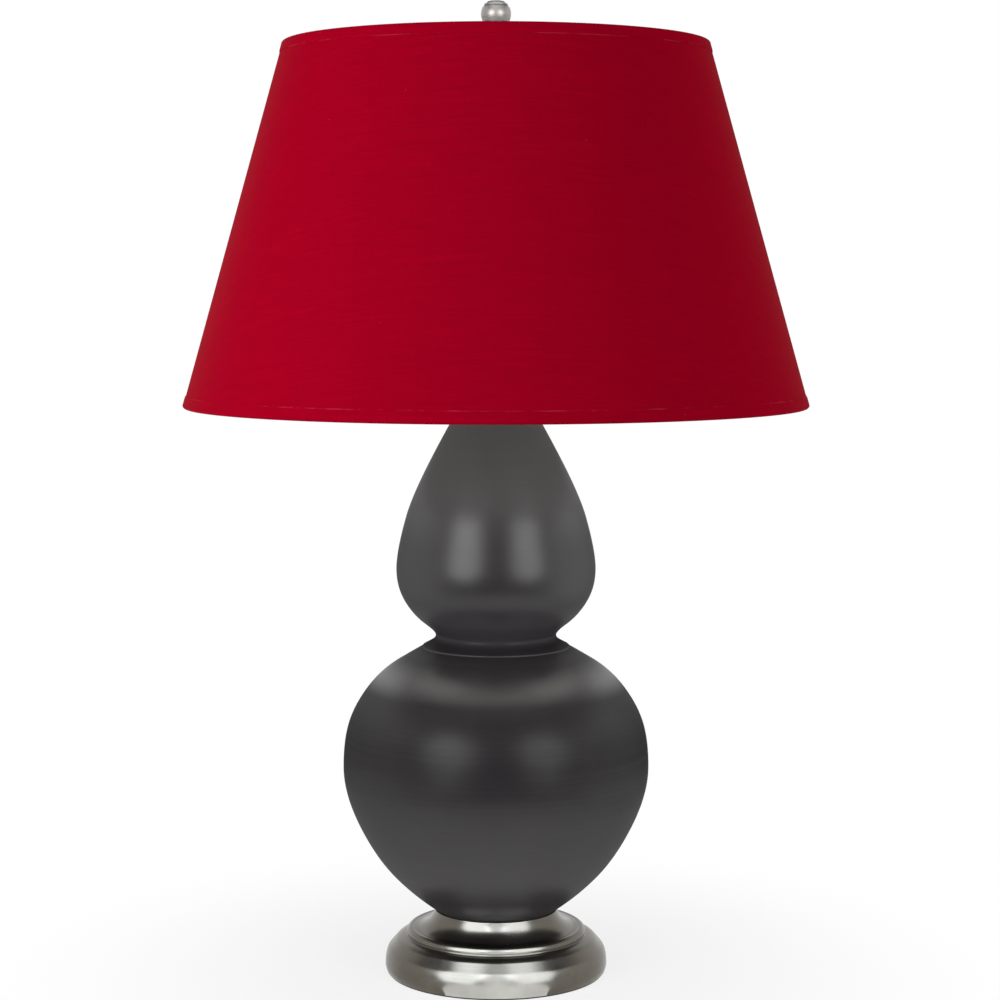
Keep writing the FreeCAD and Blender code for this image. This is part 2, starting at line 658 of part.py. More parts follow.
def cord_bushing():
    """Flanged bushing that lines the cord outlet; its flange sits on the foot's flat land."""

    def draw(sketch):
        outline = Outline(sketch, (S.outlet_bore, 0.0))
        outline.line((OUTLET_TUBE, 0.0), (OUTLET_TUBE, S.outlet_depth - S.outlet_flange_thick))
        outline.line((S.outlet_flange_radius, S.outlet_depth - S.outlet_flange_thick))
        rim = S.outlet_flange_thick / 2
        outline.line((S.outlet_flange_radius, S.outlet_depth - rim))
        outline.line((S.outlet_flange_radius - rim, S.outlet_depth))
        outline.line((S.outlet_bore, S.outlet_depth)).close()

    body = turned("cord_bushing", draw)
    inner_end = OUTLET_LAND - S.outlet_depth + S.outlet_flange_thick
    return place(body, (0, inner_end, OUTLET_LEVEL), Rotation(Vector(1, 0, 0), -90))


def foot_gasket():
    """Rubber ring between the foot's seat and the ceramic body."""
    outside = S.body_foot_radius - S.gasket_inset
    return ring("foot_gasket", S.floor_hole_radius + S.gasket_inset, outside, FOOT_TOP, BODY_BOTTOM)


# ---------------------------------------------------------------- ceramic body


def body_corners():
    """Control corners of the ceramic's outside, from its foot to its mouth, without the fine raised line."""
    shoulder_level = BELLY_LEVEL + S.belly_length + S.shoulder_rise
    cup_level = WAIST_LEVEL + S.waist_length + S.cup_rise
    return [
        (S.body_foot_radius, BODY_BOTTOM),
        (S.taper_radius, BODY_BOTTOM + S.taper_rise),
        (S.flank_radius, BODY_BOTTOM + S.taper_rise + S.flank_rise),
        (S.belly_radius, BELLY_LEVEL),
        (S.belly_radius, BELLY_LEVEL + S.belly_length),
        (S.shoulder_radius, shoulder_level),
        (S.slope_radius, SLOPE_LEVEL),
        (S.waist_radius, WAIST_LEVEL),
        (S.waist_radius, WAIST_LEVEL + S.waist_length),
        (S.cup_radius, cup_level),
        (S.crown_radius, CROWN_LEVEL),
        (S.crown_radius, CROWN_LEVEL + S.crown_length),
        (S.neck_radius, CROWN_LEVEL + S.crown_length + S.neck_rise),
        (S.mouth_radius, BODY_TOP),
    ]


def collar_corners():
    """Control corners of the fine raised line between slope and waist."""
    step = S.collar_step
    slant = S.waist_rise / (S.collar_radius - S.waist_radius)
    below = COLLAR_LEVEL - step / 2
    above = COLLAR_LEVEL + step / 2
    return [
        (S.collar_radius + step * 6, below - step * 6 * slant),
        (S.collar_radius + step, below - step * slant),
        (S.collar_radius, below),
        (S.collar_radius - step / 4, above),
        (S.collar_radius - step * 1.5, above + step * slant),
    ]


def moved_in(before, here, after, wall):
    """A control corner moved inwards by the wall, square to the line between its neighbours."""
    across = after[0] - before[0]
    up = after[1] - before[1]
    length = root(across * across + up * up)
    return (here[0] - wall * up / length, here[1] + wall * across / length)


def ceramic_body():
    """Hollow double gourd with a thin floor, open at the mouth."""
    smooth = body_corners()
    waist = smooth.index((S.waist_radius, WAIST_LEVEL))
    outside = smooth[:waist] + collar_corners() + smooth[waist:]
    inside = [moved_in(*smooth[i - 1 : i + 2], S.body_wall) for i in range(1, len(smooth) - 1)]
    floor_top = BODY_BOTTOM + S.body_floor
    mouth_inside = S.mouth_radius - S.body_wall

    def draw(sketch):
        outline = Outline(sketch, outside[0])
        outline.spline(*outside[1:])
        outline.line((mouth_inside, BODY_TOP))
        outline.spline(*inside[:0:-1], (S.body_foot_radius, floor_top))
        outline.line((S.floor_hole_radius, floor_top), (S.floor_hole_radius, BODY_BOTTOM)).close()

    return turned("ceramic_body", draw)


# ---------------------------------------------------------------- pipe and neck


def lamp_pipe():
    """Threaded pipe from the bottom nut up into the socket cap; it clamps foot, body and neck together."""
    bottom = FOOT_TOP - S.foot_seat_thick - S.washer_thick - S.bottom_nut_thick - S.pipe_tail
    return ring("lamp_pipe", S.pipe_bore, S.pipe_radius, bottom, HUB_TOP)


def bottom_washer():
    top = FOOT_TOP - S.foot_seat_thick
    return ring("bottom_washer", PIPE_HOLE, S.washer_radius, top - S.washer_thick, top)


def bottom_nut():
    top = FOOT_TOP - S.foot_seat_thick - S.washer_thick
    return hexagon_nut("bottom_nut", S.bottom_nut_thick, top - S.bottom_nut_thick)


def top_gasket():
    """Rubber ring between the ceramic mouth and the vase cap."""
    inside = S.mouth_radius - S.body_wall
    return ring("top_gasket", inside, S.mouth_radius - S.gasket_inset / 2, BODY_TOP, CAP_BOTTOM)


def vase_cap():
    """Metal cap over the ceramic mouth, swept up to its hub."""
    edge_top = CAP_BOTTOM + S.cap_edge
    hollow = ((S.cap_radius + S.cap_hub_radius) / 2 - S.cap_edge, CAP_BOTTOM + S.cap_height / 2)

    def draw(sketch):
        outline = Outline(sketch, (PIPE_HOLE, CAP_BOTTOM))
        outline.line((S.cap_radius - S.cap_edge / 2, CAP_BOTTOM))
        outline.arc((S.cap_radius, CAP_BOTTOM + S.cap_edge / 2), (S.cap_radius - S.cap_edge / 2, edge_top))
        outline.arc(hollow, (S.cap_hub_radius, CAP_TOP))
        outline.line((PIPE_HOLE, CAP_TOP)).close()

    return turned("vase_cap", draw)


def neck_tube():
    """Spacer tube between vase cap and saddle."""
    return ring("neck_tube", PIPE_HOLE, S.neck_tube_radius, CAP_TOP, SADDLE_BOTTOM)


# ---------------------------------------------------------------- harp


def harp_saddle():
    """Flat strip on the pipe; an upright half trough at each end takes a harp leg."""
    body = new_body("harp_saddle")
    strip = new_sketch(body, "Strip", "XY_Plane", SADDLE_BOTTOM)
    half = S.saddle_width / 2
    reach = S.harp_half_width
    outline = Outline(strip, (reach, -half))
    outline.arc((reach + half, 0.0), (reach, half))
    outline.line((-reach, half))
    outline.arc((-reach - half, 0.0), (-reach, -half)).close()
    draw_circle(strip, (0.0, 0.0), PIPE_HOLE)
    plate = body.newObject("PartDesign::Pad", "Plate")
    plate.Profile = strip
    plate.Length = S.saddle_thick.number
    plate.setExpression("Length", S.saddle_thick.text)
    for name, side in (("Right", 1.0), ("Left", -1.0)):
        trough = new_sketch(body, f"{name}Trough", "XY_Plane", SADDLE_TOP)
        draw_half_ring(trough, side * reach, side)
        wall = body.newObject("PartDesign::Pad", f"{name}Wall")
        wall.Profile = trough
        wall.Length = S.trough_height.number
        wall.setExpression("Length", S.trough_height.text)
    return body


def draw_half_ring(sketch, centre, side):
    """Half of a tube's section, open towards the lamp's axis."""
    outline = Outline(sketch, (centre, -TROUGH_OUTSIDE))
    outline.arc((centre + side * TROUGH_OUTSIDE, 0.0), (centre, TROUGH_OUTSIDE))
    outline.line((centre, TROUGH_BORE))
    outline.arc((centre + side * TROUGH_BORE, 0.0), (centre, -TROUGH_BORE)).close()


def saddle_nut():
    return hexagon_nut("saddle_nut", S.saddle_nut_thick, SADDLE_TOP)


def harp_wire():
    """One bent wire: two upright legs, a bow round the bulb and a flat crown."""
    body = new_body("harp_wire")
    leg_top = SADDLE_TOP + S.leg_corner
    bow_top = SADDLE_TOP + S.bow_corner
    shoulder = HARP_CROWN - S.arch_drop
    half = [
        (S.harp_half_width, SADDLE_TOP),
        (S.harp_half_width, leg_top),
        (S.bow_half_width, bow_top),
        (S.bow_half_width, shoulder),
        (S.arch_half_width, HARP_CROWN),
    ]
    mirrored = [(-across, up) for across, up in half]
    bends = [S.leg_bend, S.leg_bend, S.shoulder_bend, S.crown_bend]
    path = new_sketch(body, "BowPath")
    bent_path(path, half + mirrored[::-1], bends + bends[::-1])
    section = new_sketch(body, "BowSection", "XY_Plane", SADDLE_TOP)
    draw_circle(section, (S.harp_half_width, 0.0), S.wire_radius)
    pipe_along(body, path, section)
    return body


def harp_stud():
    """Boss clamped on the harp's crown, with the stud that takes shade and finial."""

    def draw(sketch):
        chamfer = S.stud_radius / 5
        outline = Outline(sketch, (0.0, WASHER_UNDERSIDE - S.boss_height))
        outline.line((S.boss_radius - chamfer, WASHER_UNDERSIDE - S.boss_height))
        outline.line((S.boss_radius, WASHER_UNDERSIDE - S.boss_height + chamfer))
        outline.line((S.boss_radius, WASHER_UNDERSIDE), (S.stud_radius, WASHER_UNDERSIDE))
        outline.line((S.stud_radius, WASHER_UNDERSIDE + S.stud_length - chamfer))
        outline.line((S.stud_radius - chamfer, WASHER_UNDERSIDE + S.stud_length))
        outline.line((0.0, WASHER_UNDERSIDE + S.stud_length)).close()

    body = turned("harp_stud", draw)
    hole = new_sketch(body, "WireHole", "YZ_Plane", -S.boss_radius)
    draw_circle(hole, (0.0, HARP_CROWN), S.wire_radius + S.wire_clearance)
    pocket(body, hole, S.boss_radius * 2, True)
    return body


def harp_sleeve(label, side):
    """Locking sleeve that drops over a harp leg and its trough."""

    def draw(sketch):
        outline = Outline(sketch, (SLEEVE_BORE, SADDLE_TOP))
        outline.line((SLEEVE_OUTSIDE, SADDLE_TOP))
        outline.line((SLEEVE_OUTSIDE, SADDLE_TOP + S.sleeve_height - S.sleeve_taper))
        outline.line((SLEEVE_OUTSIDE - S.sleeve_wall / 2, SADDLE_TOP + S.sleeve_height))
        outline.line((SLEEVE_BORE, SADDLE_TOP + S.sleeve_height)).close()

    return place(turned(label, draw), (side * S.harp_half_width, 0, 0))


# ---------------------------------------------------------------- socket


def socket_cap():
    """Metal cup screwed on the pipe, with a set screw in its hub."""
    wall = S.socket_cap_wall
    sweep = ((S.hub_radius + SOCKET_CAP_RADIUS) / 2 + wall * 3, HUB_TOP + wall * 6)

    def draw(sketch):
        outline = Outline(sketch, (PIPE_HOLE, SOCKET_BOTTOM))
        outline.line((S.hub_radius, SOCKET_BOTTOM), (S.hub_radius, HUB_TOP - wall * 2))
        outline.arc(sweep, (SOCKET_CAP_RADIUS, SHELL_BOTTOM))
        outline.line((SOCKET_CAP_RADIUS, SOCKET_CAP_TOP), (SOCKET_CAP_INSIDE, SOCKET_CAP_TOP))
        outline.line((SOCKET_CAP_INSIDE, SHELL_BOTTOM))
        outline.arc((sweep[0] - wall * 1.2, sweep[1] + wall), (S.hub_radius, HUB_TOP))
        outline.line((PIPE_HOLE, HUB_TOP)).close()

    body = turned("socket_cap", draw)
    hole = new_sketch(body, "SetScrewHole")
    draw_circle(hole, (0.0, SET_SCREW_LEVEL), S.set_screw_radius)
    pocket(body, hole, S.hub_radius + wall, False)
    return body


def socket_set_screw():
    """Headless screw that grips the pipe from the back."""
    screw = disc("socket_set_screw", S.set_screw_radius - S.switch_shaft_play, 0.0, S.set_screw_length)
    inner_end = S.pipe_radius + S.pipe_clearance * 3
    return place(screw, (0, inner_end, SET_SCREW_LEVEL), Rotation(Vector(1, 0, 0), -90))


def socket_core():
    """Moulded core that holds the screw shell and the switch; its narrow bridge carries the terminals."""

    def draw(sketch):
        bridge = SOCKET_BOTTOM + S.core_low
        outline = Outline(sketch, (0.0, bridge))
        outline.line((S.core_bridge_radius, bridge), (S.core_bridge_radius, SHELL_BOTTOM))
        outline.line((CORE_RADIUS, SHELL_BOTTOM), (CORE_RADIUS, CORE_TOP))
        outline.line((0.0, CORE_TOP)).close()

    body = turned("socket_core", draw)
    hole = new_sketch(body, "ShaftHole", offset=S.switch_root - S.switch_shaft_play)
    draw_circle(hole, (0.0, SWITCH_LEVEL), S.switch_shaft_radius + S.switch_shaft_play)
    pocket(body, hole, CORE_RADIUS, True)
    depth = S.core_bridge_radius - S.terminal_length
    for name, side in (("Right", 1.0), ("Left", -1.0)):
        seat = new_sketch(body, f"{name}Terminal", "YZ_Plane", side * depth)
        draw_circle(seat, (0.0, TERMINAL_LEVEL), S.terminal_shank)
        pocket(body, seat, S.terminal_length, side > 0)
    return body


def terminal_screws():
    """The two terminal screws of the socket, one on each side of the bridge."""

    def draw(sketch):
        shank = S.terminal_shank - S.switch_shaft_play
        outline = Outline(sketch, (0.0, S.switch_shaft_play))
        outline.line((shank, S.switch_shaft_play), (shank, S.terminal_length))
        outline.line((S.terminal_head, S.terminal_length))
        outline.line((S.terminal_head, S.terminal_length + S.terminal_head_thick))
        outline.line((0.0, S.terminal_length + S.terminal_head_thick)).close()

    right = turned("terminal_screw", draw)
    inner_end = S.core_bridge_radius - S.terminal_length
    place(right, (inner_end, 0, TERMINAL_LEVEL), Rotation(Vector(0, 1, 0), 90))
    left = doc.addObject("Part::Mirroring", "terminal_screw_left")
    left.Source = right
    left.Normal = Vector(1, 0, 0)
    both = doc.addObject("Part::Compound", "terminal_screws")
    both.Links = [right, left]
    both.Label = "terminal_screws"
    return both


def screw_shell():
    """Screw shell that takes the bulb, with a floor that is open round the contact."""
    top = CORE_TOP + S.thread_height
    floor_top = CORE_TOP + S.thread_wall

    def draw(sketch):
        outline = Outline(sketch, (S.contact_radius * 1.6, CORE_TOP))
        outline.line((THREAD_OUTSIDE, CORE_TOP), (THREAD_OUTSIDE, top), (S.thread_bore, top))
        outline.line((S.thread_bore, floor_top), (S.contact_radius * 1.6, floor_top)).close()

    return turned("screw_shell", draw)


def centre_contact():
    return disc("centre_contact", S.contact_radius, CORE_TOP, CORE_TOP + S.contact_thick)


def side_hole(body):
    """The hole through which the switch shaft comes out at the front."""
    hole = new_sketch(body, "SwitchHole")
    draw_circle(hole, (0.0, SWITCH_LEVEL), S.switch_hole_radius)
    pocket(body, hole, SOCKET_CAP_RADIUS, True)
    return body


def socket_insulator():
    """Fibre sleeve between the core and the shell."""
    top = SHELL_TOP + S.fibre_wall
    return side_hole(ring("socket_insulator", FIBRE_INSIDE, FIBRE_OUTSIDE, SHELL_BOTTOM, top))


def socket_shell():
    """Metal shell of the socket, with a rolled bead near its mouth."""
    bead_low = SHELL_TOP - S.shell_wall * 8
    bead_high = SHELL_TOP - S.shell_wall * 4
    bead = (SHELL_OUTSIDE + S.shell_wall * 1.4, (bead_low + bead_high) / 2)

    def draw(sketch):
        outline = Outline(sketch, (SHELL_INSIDE, SHELL_BOTTOM))
        outline.line((SHELL_OUTSIDE, SHELL_BOTTOM), (SHELL_OUTSIDE, bead_low))
        outline.arc(bead, (SHELL_OUTSIDE, bead_high))
        outline.line((SHELL_OUTSIDE, SHELL_TOP), (SHELL_INSIDE, SHELL_TOP)).close()

    return side_hole(turned("socket_shell", draw))


def switch_shaft():
    shaft = disc("switch_shaft", S.switch_shaft_radius, 0.0, S.switch_reach - S.switch_root)
    return place(shaft, (0, -S.switch_root, SWITCH_LEVEL), Rotation(Vector(1, 0, 0), 90))


def switch_knob():
    """Fluted turn knob on the switch shaft."""
    round_edge = S.knob_radius / 5

    def draw(sketch):
        bore = S.switch_shaft_radius
        shaft_end = S.switch_reach - S.knob_start
        outline = Outline(sketch, (bore, 0.0))
        outline.line((S.knob_radius * 0.7, 0.0), (S.knob_radius, round_edge * 2))
        outline.line((S.knob_radius, S.knob_length - round_edge))
        outline.line((S.knob_radius - round_edge, S.knob_length), (0.0, S.knob_length))
        outline.line((0.0, shaft_end), (bore, shaft_end)).close()

    body = turned("switch_knob", draw)
    flute = new_sketch(body, "Flute", "XY_Plane")
    draw_circle(flute, (S.knob_radius + S.knob_flute_radius * 0.45, 0.0), S.knob_flute_radius)
    cut = pocket(body, flute, S.knob_length, True)
    pattern = body.newObject("PartDesign::PolarPattern", "Flutes")
    pattern.Originals = [cut]
    pattern.Axis = (flute, ["N_Axis"])
    pattern.Angle = FULL_TURN
    pattern.Occurrences = int(S.knob_flutes.number)
    pattern.setExpression("Occurrences", S.knob_flutes.text)
    body.Tip = pattern
    return place(body, (0, -S.knob_start, SWITCH_LEVEL), Rotation(Vector(1, 0, 0), 90))


# ---------------------------------------------------------------- bulb


def bulb_cap():
    """Screw cap of the bulb, a thin shell narrowed towards its contact."""
    wall = S.thread_wall
    mouth = S.bulb_tip_radius * 1.5

    def draw(sketch):
        outline = Outline(sketch, (mouth, BULB_COLLAR))
        outline.line((BULB_CAP_RADIUS - wall * 4, BULB_COLLAR), (BULB_CAP_RADIUS, BULB_COLLAR + wall * 6))
        outline.line((BULB_CAP_RADIUS, BULB_CAP_TOP), (BULB_CAP_RADIUS - wall, BULB_CAP_TOP))
        outline.line((BULB_CAP_RADIUS - wall, BULB_COLLAR + wall * 7))
        floor_top = BULB_COLLAR + wall * 1.5
        outline.line((BULB_CAP_RADIUS - wall * 5, floor_top), (mouth, floor_top)).close()

    return turned("bulb_cap", draw)


def bulb_insulator():
    """Dark glass ring between the screw cap and the contact."""
    bottom = BULB_BOTTOM + S.contact_thick * 2
    return ring("bulb_insulator", S.bulb_tip_radius * 0.5, S.bulb_tip_radius * 1.5, bottom, BULB_COLLAR)


def bulb_contact():
    """Contact button under the bulb."""
    return disc("bulb_contact", S.bulb_tip_radius, BULB_BOTTOM, BULB_BOTTOM + S.contact_thick * 2)


def bulb_glass():
    """Glass envelope: a neck, a shoulder that swells out, and a round top."""
    wall = S.bulb_wall
    low = BULB_CAP_TOP - S.thread_wall * 16
    slope_up = (BULB_NECK_TOP + BULB_CENTRE) / 2
    slope_out = (BULB_NECK_RADIUS + S.bulb_radius) / 2 + wall * 1.5
    diagonal = math.sqrt(0.5)
    inner = S.bulb_radius - wall

    def draw(sketch):
        outline = Outline(sketch, (BULB_NECK_RADIUS, low))
        outline.line((BULB_NECK_RADIUS, BULB_NECK_TOP))
        outline.arc((slope_out, slope_up), (S.bulb_radius, BULB_CENTRE))
        top_arc = (S.bulb_radius * diagonal, BULB_CENTRE + S.bulb_radius * diagonal)
        outline.arc(top_arc, (0.0, BULB_CENTRE + S.bulb_radius))
        outline.line((0.0, BULB_CENTRE + inner))
        outline.arc((inner * diagonal, BULB_CENTRE + inner * diagonal), (inner, BULB_CENTRE))
        outline.arc((slope_out - wall, slope_up + wall / 4), (BULB_NECK_RADIUS - wall, BULB_NECK_TOP))
        outline.line((BULB_NECK_RADIUS - wall, low)).close()

    return turned("bulb_glass", draw)


# ---------------------------------------------------------------- shade


def cloth_radius(height):
    """Outside of the shade's cloth at a height above the table."""
    share = (height - S.shade_low) / (S.shade_high - S.shade_low)
    return S.shade_low_radius + (S.shade_high_radius - S.shade_low_radius) * share


LOW_RING_HEIGHT = S.shade_low + S.hem_thick + HEM_BORE
HIGH_RING_HEIGHT = S.shade_high - S.hem_thick - HEM_BORE
LOW_RING_AT = cloth_radius(LOW_RING_HEIGHT) + S.glue_gap - HEM_BORE
HIGH_RING_AT = cloth_radius(HIGH_RING_HEIGHT) + S.glue_gap - HEM_BORE
CLOTH_LOW = LOW_RING_HEIGHT + HEM_BORE
CLOTH_HIGH = HIGH_RING_HEIGHT - HEM_BORE
LINER_OUT = S.cloth_thick + S.glue_gap
LINER_IN = LINER_OUT + S.liner_thick


def draw_cone(sketch, low, high, inner, outer):
    """Section of a thin cone wall that lies between two depths inside the cloth's face."""
    outline = Outline(sketch, (cloth_radius(low) - inner, low))
    outline.line((cloth_radius(low) - outer, low), (cloth_radius(high) - outer, high))
    outline.line((cloth_radius(high) - inner, high)).close()


def shade_cloth():
    return turned("shade_cloth", lambda sketch: draw_cone(sketch, CLOTH_LOW, CLOTH_HIGH, S.cloth_thick, 0.0))


def shade_liner():
    """Stiff white liner glued behind the cloth."""
    return turned("shade_liner", lambda sketch: draw_cone(sketch, CLOTH_LOW, CLOTH_HIGH, LINER_IN, LINER_OUT))


def shade_seam():
    """Strip of cloth lapped over the joint at the back."""
    low = S.shade_low + S.low_hem_height + S.glue_gap
    high = S.shade_high - S.high_hem_height - S.glue_gap
    body = turned(
        "shade_seam",
        lambda sketch: draw_cone(sketch, low, high, -S.glue_gap, -S.glue_gap - S.seam_thick),
        S.seam_angle,
    )
    body.Placement = Placement(Vector(), Rotation(Vector(0, 0, 1), 90))
    return body


def ring_wire(label, at, height):
    """Wire ring inside a hem."""

    def draw(sketch):
        outline = Outline(sketch, (at, height - S.ring_radius))
        outline.arc((at + S.ring_radius, height), (at, height + S.ring_radius))
        outline.arc((at - S.ring_radius, height), (at, height - S.ring_radius))
        edge, _, last = outline.edges[-1]
        first_edge, first_end, _ = outline.edges[0]
        sketch.addConstraint(Sketcher.Constraint("Coincident", edge, last, first_edge, first_end))

    return turned(label, draw)


def folded(at, height, radius, way):
    """Corners of the tape where it is folded round its ring, from the outer side to the inner side."""
    half_turn = FULL_TURN / 2
    angles = [math.radians(half_turn * step / FOLD_FLATS) for step in range(FOLD_FLATS + 1)]
    return [
        (at + radius * round(math.cos(angle), 6), height - way * radius * round(math.sin(angle), 6))
        for angle in angles
    ]


def hem(label, at, height, edge, band, way):
    """Tape folded round a wire ring; way is +1 where it opens upwards, -1 where it opens downwards."""
    tape = S.hem_thick
    outer = HEM_BORE + tape
    beside = height + way * HEM_BORE
    top = edge + way * band
    meet = edge + way * S.hem_return
    inner_face = LINER_IN + S.glue_gap
    at_top = cloth_radius(top)
    at_meet = cloth_radius(meet) - inner_face

    def draw(sketch):
        outline = Outline(sketch, (at_top + S.glue_gap + tape, top))
        outline.line(*folded(at, height, outer, way))
        outline.line((at - outer, beside), (at_meet - tape, meet), (at_top - inner_face - tape, top))
        outline.line((at_top - inner_face, top), (at_meet, meet), (at - HEM_BORE, beside))
        outline.line(*reversed(folded(at, height, HEM_BORE, way)))
        outline.line((at_top + S.glue_gap, top)).close()

    return turned(label, draw)


def low_hem():
    return hem("low_hem", LOW_RING_AT, LOW_RING_HEIGHT, S.shade_low, S.low_hem_height, 1.0)


def high_hem():
    """Upper hem, notched where the three arms reach the ring."""
    body = hem("high_hem", HIGH_RING_AT, HIGH_RING_HEIGHT, S.shade_high, S.high_hem_height, -1.0)
    notch = new_sketch(body, "ArmNotch", "YZ_Plane")
    draw_circle(notch, (0.0, HIGH_RING_HEIGHT), S.spider_arm_radius + S.arm_notch_play)
    cut = pocket(body, notch, HIGH_RING_AT, True)
    polar(body, notch, cut, ARM_COUNT)
    return place_front_arm(body)


def polar(body, sketch, feature, count):
    """Repeats a feature round the lamp's axis."""
    pattern = body.newObject("PartDesign::PolarPattern", "Repeats")
    pattern.Originals = [feature]
    pattern.Axis = (sketch, ["V_Axis"])
    pattern.Angle = FULL_TURN
    pattern.Occurrences = count
    body.Tip = pattern


def place_front_arm(body):
    """Turns a piece so that one arm points to the back."""
    body.Placement = Placement(Vector(), Rotation(Vector(0, 0, 1), 90))
    return body


def spider_washer():
    """Washer that lies on the harp's boss under the finial."""
    bore = S.stud_radius + S.spider_washer_play
    return ring("spider_washer", bore, S.spider_washer_radius, WASHER_UNDERSIDE, FINIAL_BOTTOM)


def spider_arms():
    """Three arms welded between the washer and the upper ring, dipped towards the middle."""
    body = new_body("spider_arms")
    body.AllowCompound = True
    level = (WASHER_UNDERSIDE + FINIAL_BOTTOM) / 2
    start = S.spider_washer_radius + S.weld_gap
    path = new_sketch(body, "ArmPath")
    rise = (HIGH_RING_AT - S.spider_flat, HIGH_RING_HEIGHT)
    corners = [
        (start, level),
        (S.spider_flat, level),
        rise,
        (HIGH_RING_AT - S.ring_radius - S.weld_gap, HIGH_RING_HEIGHT),
    ]
    bent_path(path, corners, [S.spider_bend, S.spider_bend])
    section = new_sketch(body, "ArmSection", "YZ_Plane", start)
    draw_circle(section, (0.0, level), S.spider_arm_radius)
    arm = pipe_along(body, path, section)
    polar(body, path, arm, ARM_COUNT)
    return place_front_arm(body)


# ---------------------------------------------------------------- finial


def on_ball(height, radius=None):
    """Where a level of the finial's ball meets its surface; height counts from the ball's centre."""
    radius = radius or S.ball_radius
    return (root(radius * radius - height * height), FINIAL_BOTTOM + S.ball_centre + height)


def groove(outline, centre):
    """Runs the ball's outline through a small V groove."""
    half = S.ball_groove_width / 2
    outline.line(on_ball(centre, S.ball_radius - S.ball_groove_depth))
    outline.line(on_ball(centre + half))


def finial():
    """Ball finial with turned grooves and a button, on a waisted stem."""
    half = S.ball_groove_width / 2
    stem = (S.finial_stem_radius, FINIAL_BOTTOM + S.finial_stem_height)
    bore = S.stud_radius + S.finial_bore_play
    bore_top = FINIAL_BOTTOM + S.stud_length - S.spider_washer_thick + S.finial_bore_spare
    ball_low = -S.ball_groove_high - half
    button_at = S.ball_groove_high + half + S.ball_groove_depth
    button_low = on_ball(button_at)[1]
    button_top = button_low + S.button_height
    levels = [-S.ball_groove_high, -S.ball_groove_low, S.ball_groove_low, S.ball_groove_high]

    def draw(sketch):
        outline = Outline(sketch, (bore, FINIAL_BOTTOM))
        outline.line((S.finial_base_radius, FINIAL_BOTTOM))
        outline.line((S.finial_base_radius, FINIAL_BOTTOM + S.finial_base_height))
        outline.line((S.finial_stem_radius + half, FINIAL_BOTTOM + S.finial_base_height * 1.5))
        outline.arc(stem, on_ball(ball_low))
        groove(outline, levels[0])
        for below, level in zip(levels, levels[1:]):
            outline.arc(on_ball((below + level) / 2), on_ball(level - half))
            groove(outline, level)
        outline.line((S.button_radius, button_low))
        outline.arc(
            (S.button_radius * 1.05, (button_low + button_top) / 2),
            (S.button_radius * 0.8, button_top - half / 2),
        )
        outline.line((S.button_radius * 0.5, button_top), (0.0, button_top))
        outline.line((0.0, bore_top), (bore, bore_top)).close()

    return turned("finial", draw)


# ---------------------------------------------------------------- assembly


def build():
    for make in (
        felt_pad,
        base_card,
        metal_foot,
        cord_bushing,
        foot_gasket,
        ceramic_body,
        lamp_pipe,
        bottom_washer,
        bottom_nut,
        top_gasket,
        vase_cap,
        neck_tube,
        harp_saddle,
        saddle_nut,
        harp_wire,
        harp_stud,
        socket_cap,
        socket_set_screw,
        socket_core,
        terminal_screws,
        screw_shell,
        centre_contact,
        socket_insulator,
        socket_shell,
        switch_shaft,
        switch_knob,
        bulb_cap,
        bulb_insulator,
        bulb_contact,
        bulb_glass,
        shade_cloth,
        shade_liner,
        shade_seam,
        low_hem,
        high_hem,
        spider_washer,
        spider_arms,
        finial,
    ):
        keep(make())
    keep(harp_sleeve("harp_sleeve_left", -1.0))
    keep(harp_sleeve("harp_sleeve_right", 1.0))
    keep(ring_wire("low_ring", LOW_RING_AT, LOW_RING_HEIGHT))
    keep(ring_wire("high_ring", HIGH_RING_AT, HIGH_RING_HEIGHT))


def check():
    """Stops if any object failed to build or any piece is empty or unsound."""
    for item in doc.Objects:
        if "Invalid" in item.State or "Error" in item.State:
            raise ValueError(f"{item.Label} failed to build")
    for piece in pieces:
        if piece.Shape.isNull() or not piece.Shape.isValid() or piece.Shape.Volume <= 0:
            raise ValueError(f"{piece.Label} has no sound shape")


def export():
    os.makedirs("parts", exist_ok=True)
    for piece in pieces:
        piece.Shape.exportStep(os.path.join("parts", piece.Label + ".step"))


build()
doc.recompute()
check()
export()
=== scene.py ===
import math

import bmesh
import bpy
from bpy.props import FloatProperty, FloatVectorProperty, PointerProperty
from bpy.types import Operator, Panel, PropertyGroup
from mathutils import Matrix, Vector


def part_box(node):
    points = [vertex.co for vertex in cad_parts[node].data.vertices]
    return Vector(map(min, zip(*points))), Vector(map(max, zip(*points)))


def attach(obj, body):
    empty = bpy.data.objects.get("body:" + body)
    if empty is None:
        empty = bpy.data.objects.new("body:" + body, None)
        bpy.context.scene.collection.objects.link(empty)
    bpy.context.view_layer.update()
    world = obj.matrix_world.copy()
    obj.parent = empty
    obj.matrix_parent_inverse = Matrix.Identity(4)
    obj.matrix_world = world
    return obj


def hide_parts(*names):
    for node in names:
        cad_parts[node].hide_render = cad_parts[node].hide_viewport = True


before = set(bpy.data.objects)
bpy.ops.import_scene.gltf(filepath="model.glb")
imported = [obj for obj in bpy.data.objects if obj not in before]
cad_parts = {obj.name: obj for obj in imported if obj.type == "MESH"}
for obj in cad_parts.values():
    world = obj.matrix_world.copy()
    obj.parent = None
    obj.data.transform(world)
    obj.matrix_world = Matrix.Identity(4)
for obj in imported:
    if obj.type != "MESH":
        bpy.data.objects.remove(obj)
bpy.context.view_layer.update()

bl_info = {
    "name": "Double Gourd Lamp",
    "version": (1, 0, 0),
    "blender": (4, 5, 0),
    "location": "3D View > Sidebar > Lamp",
    "description": "Builds a double gourd table lamp round its frame, piece by piece",
    "category": "Add Mesh",
}

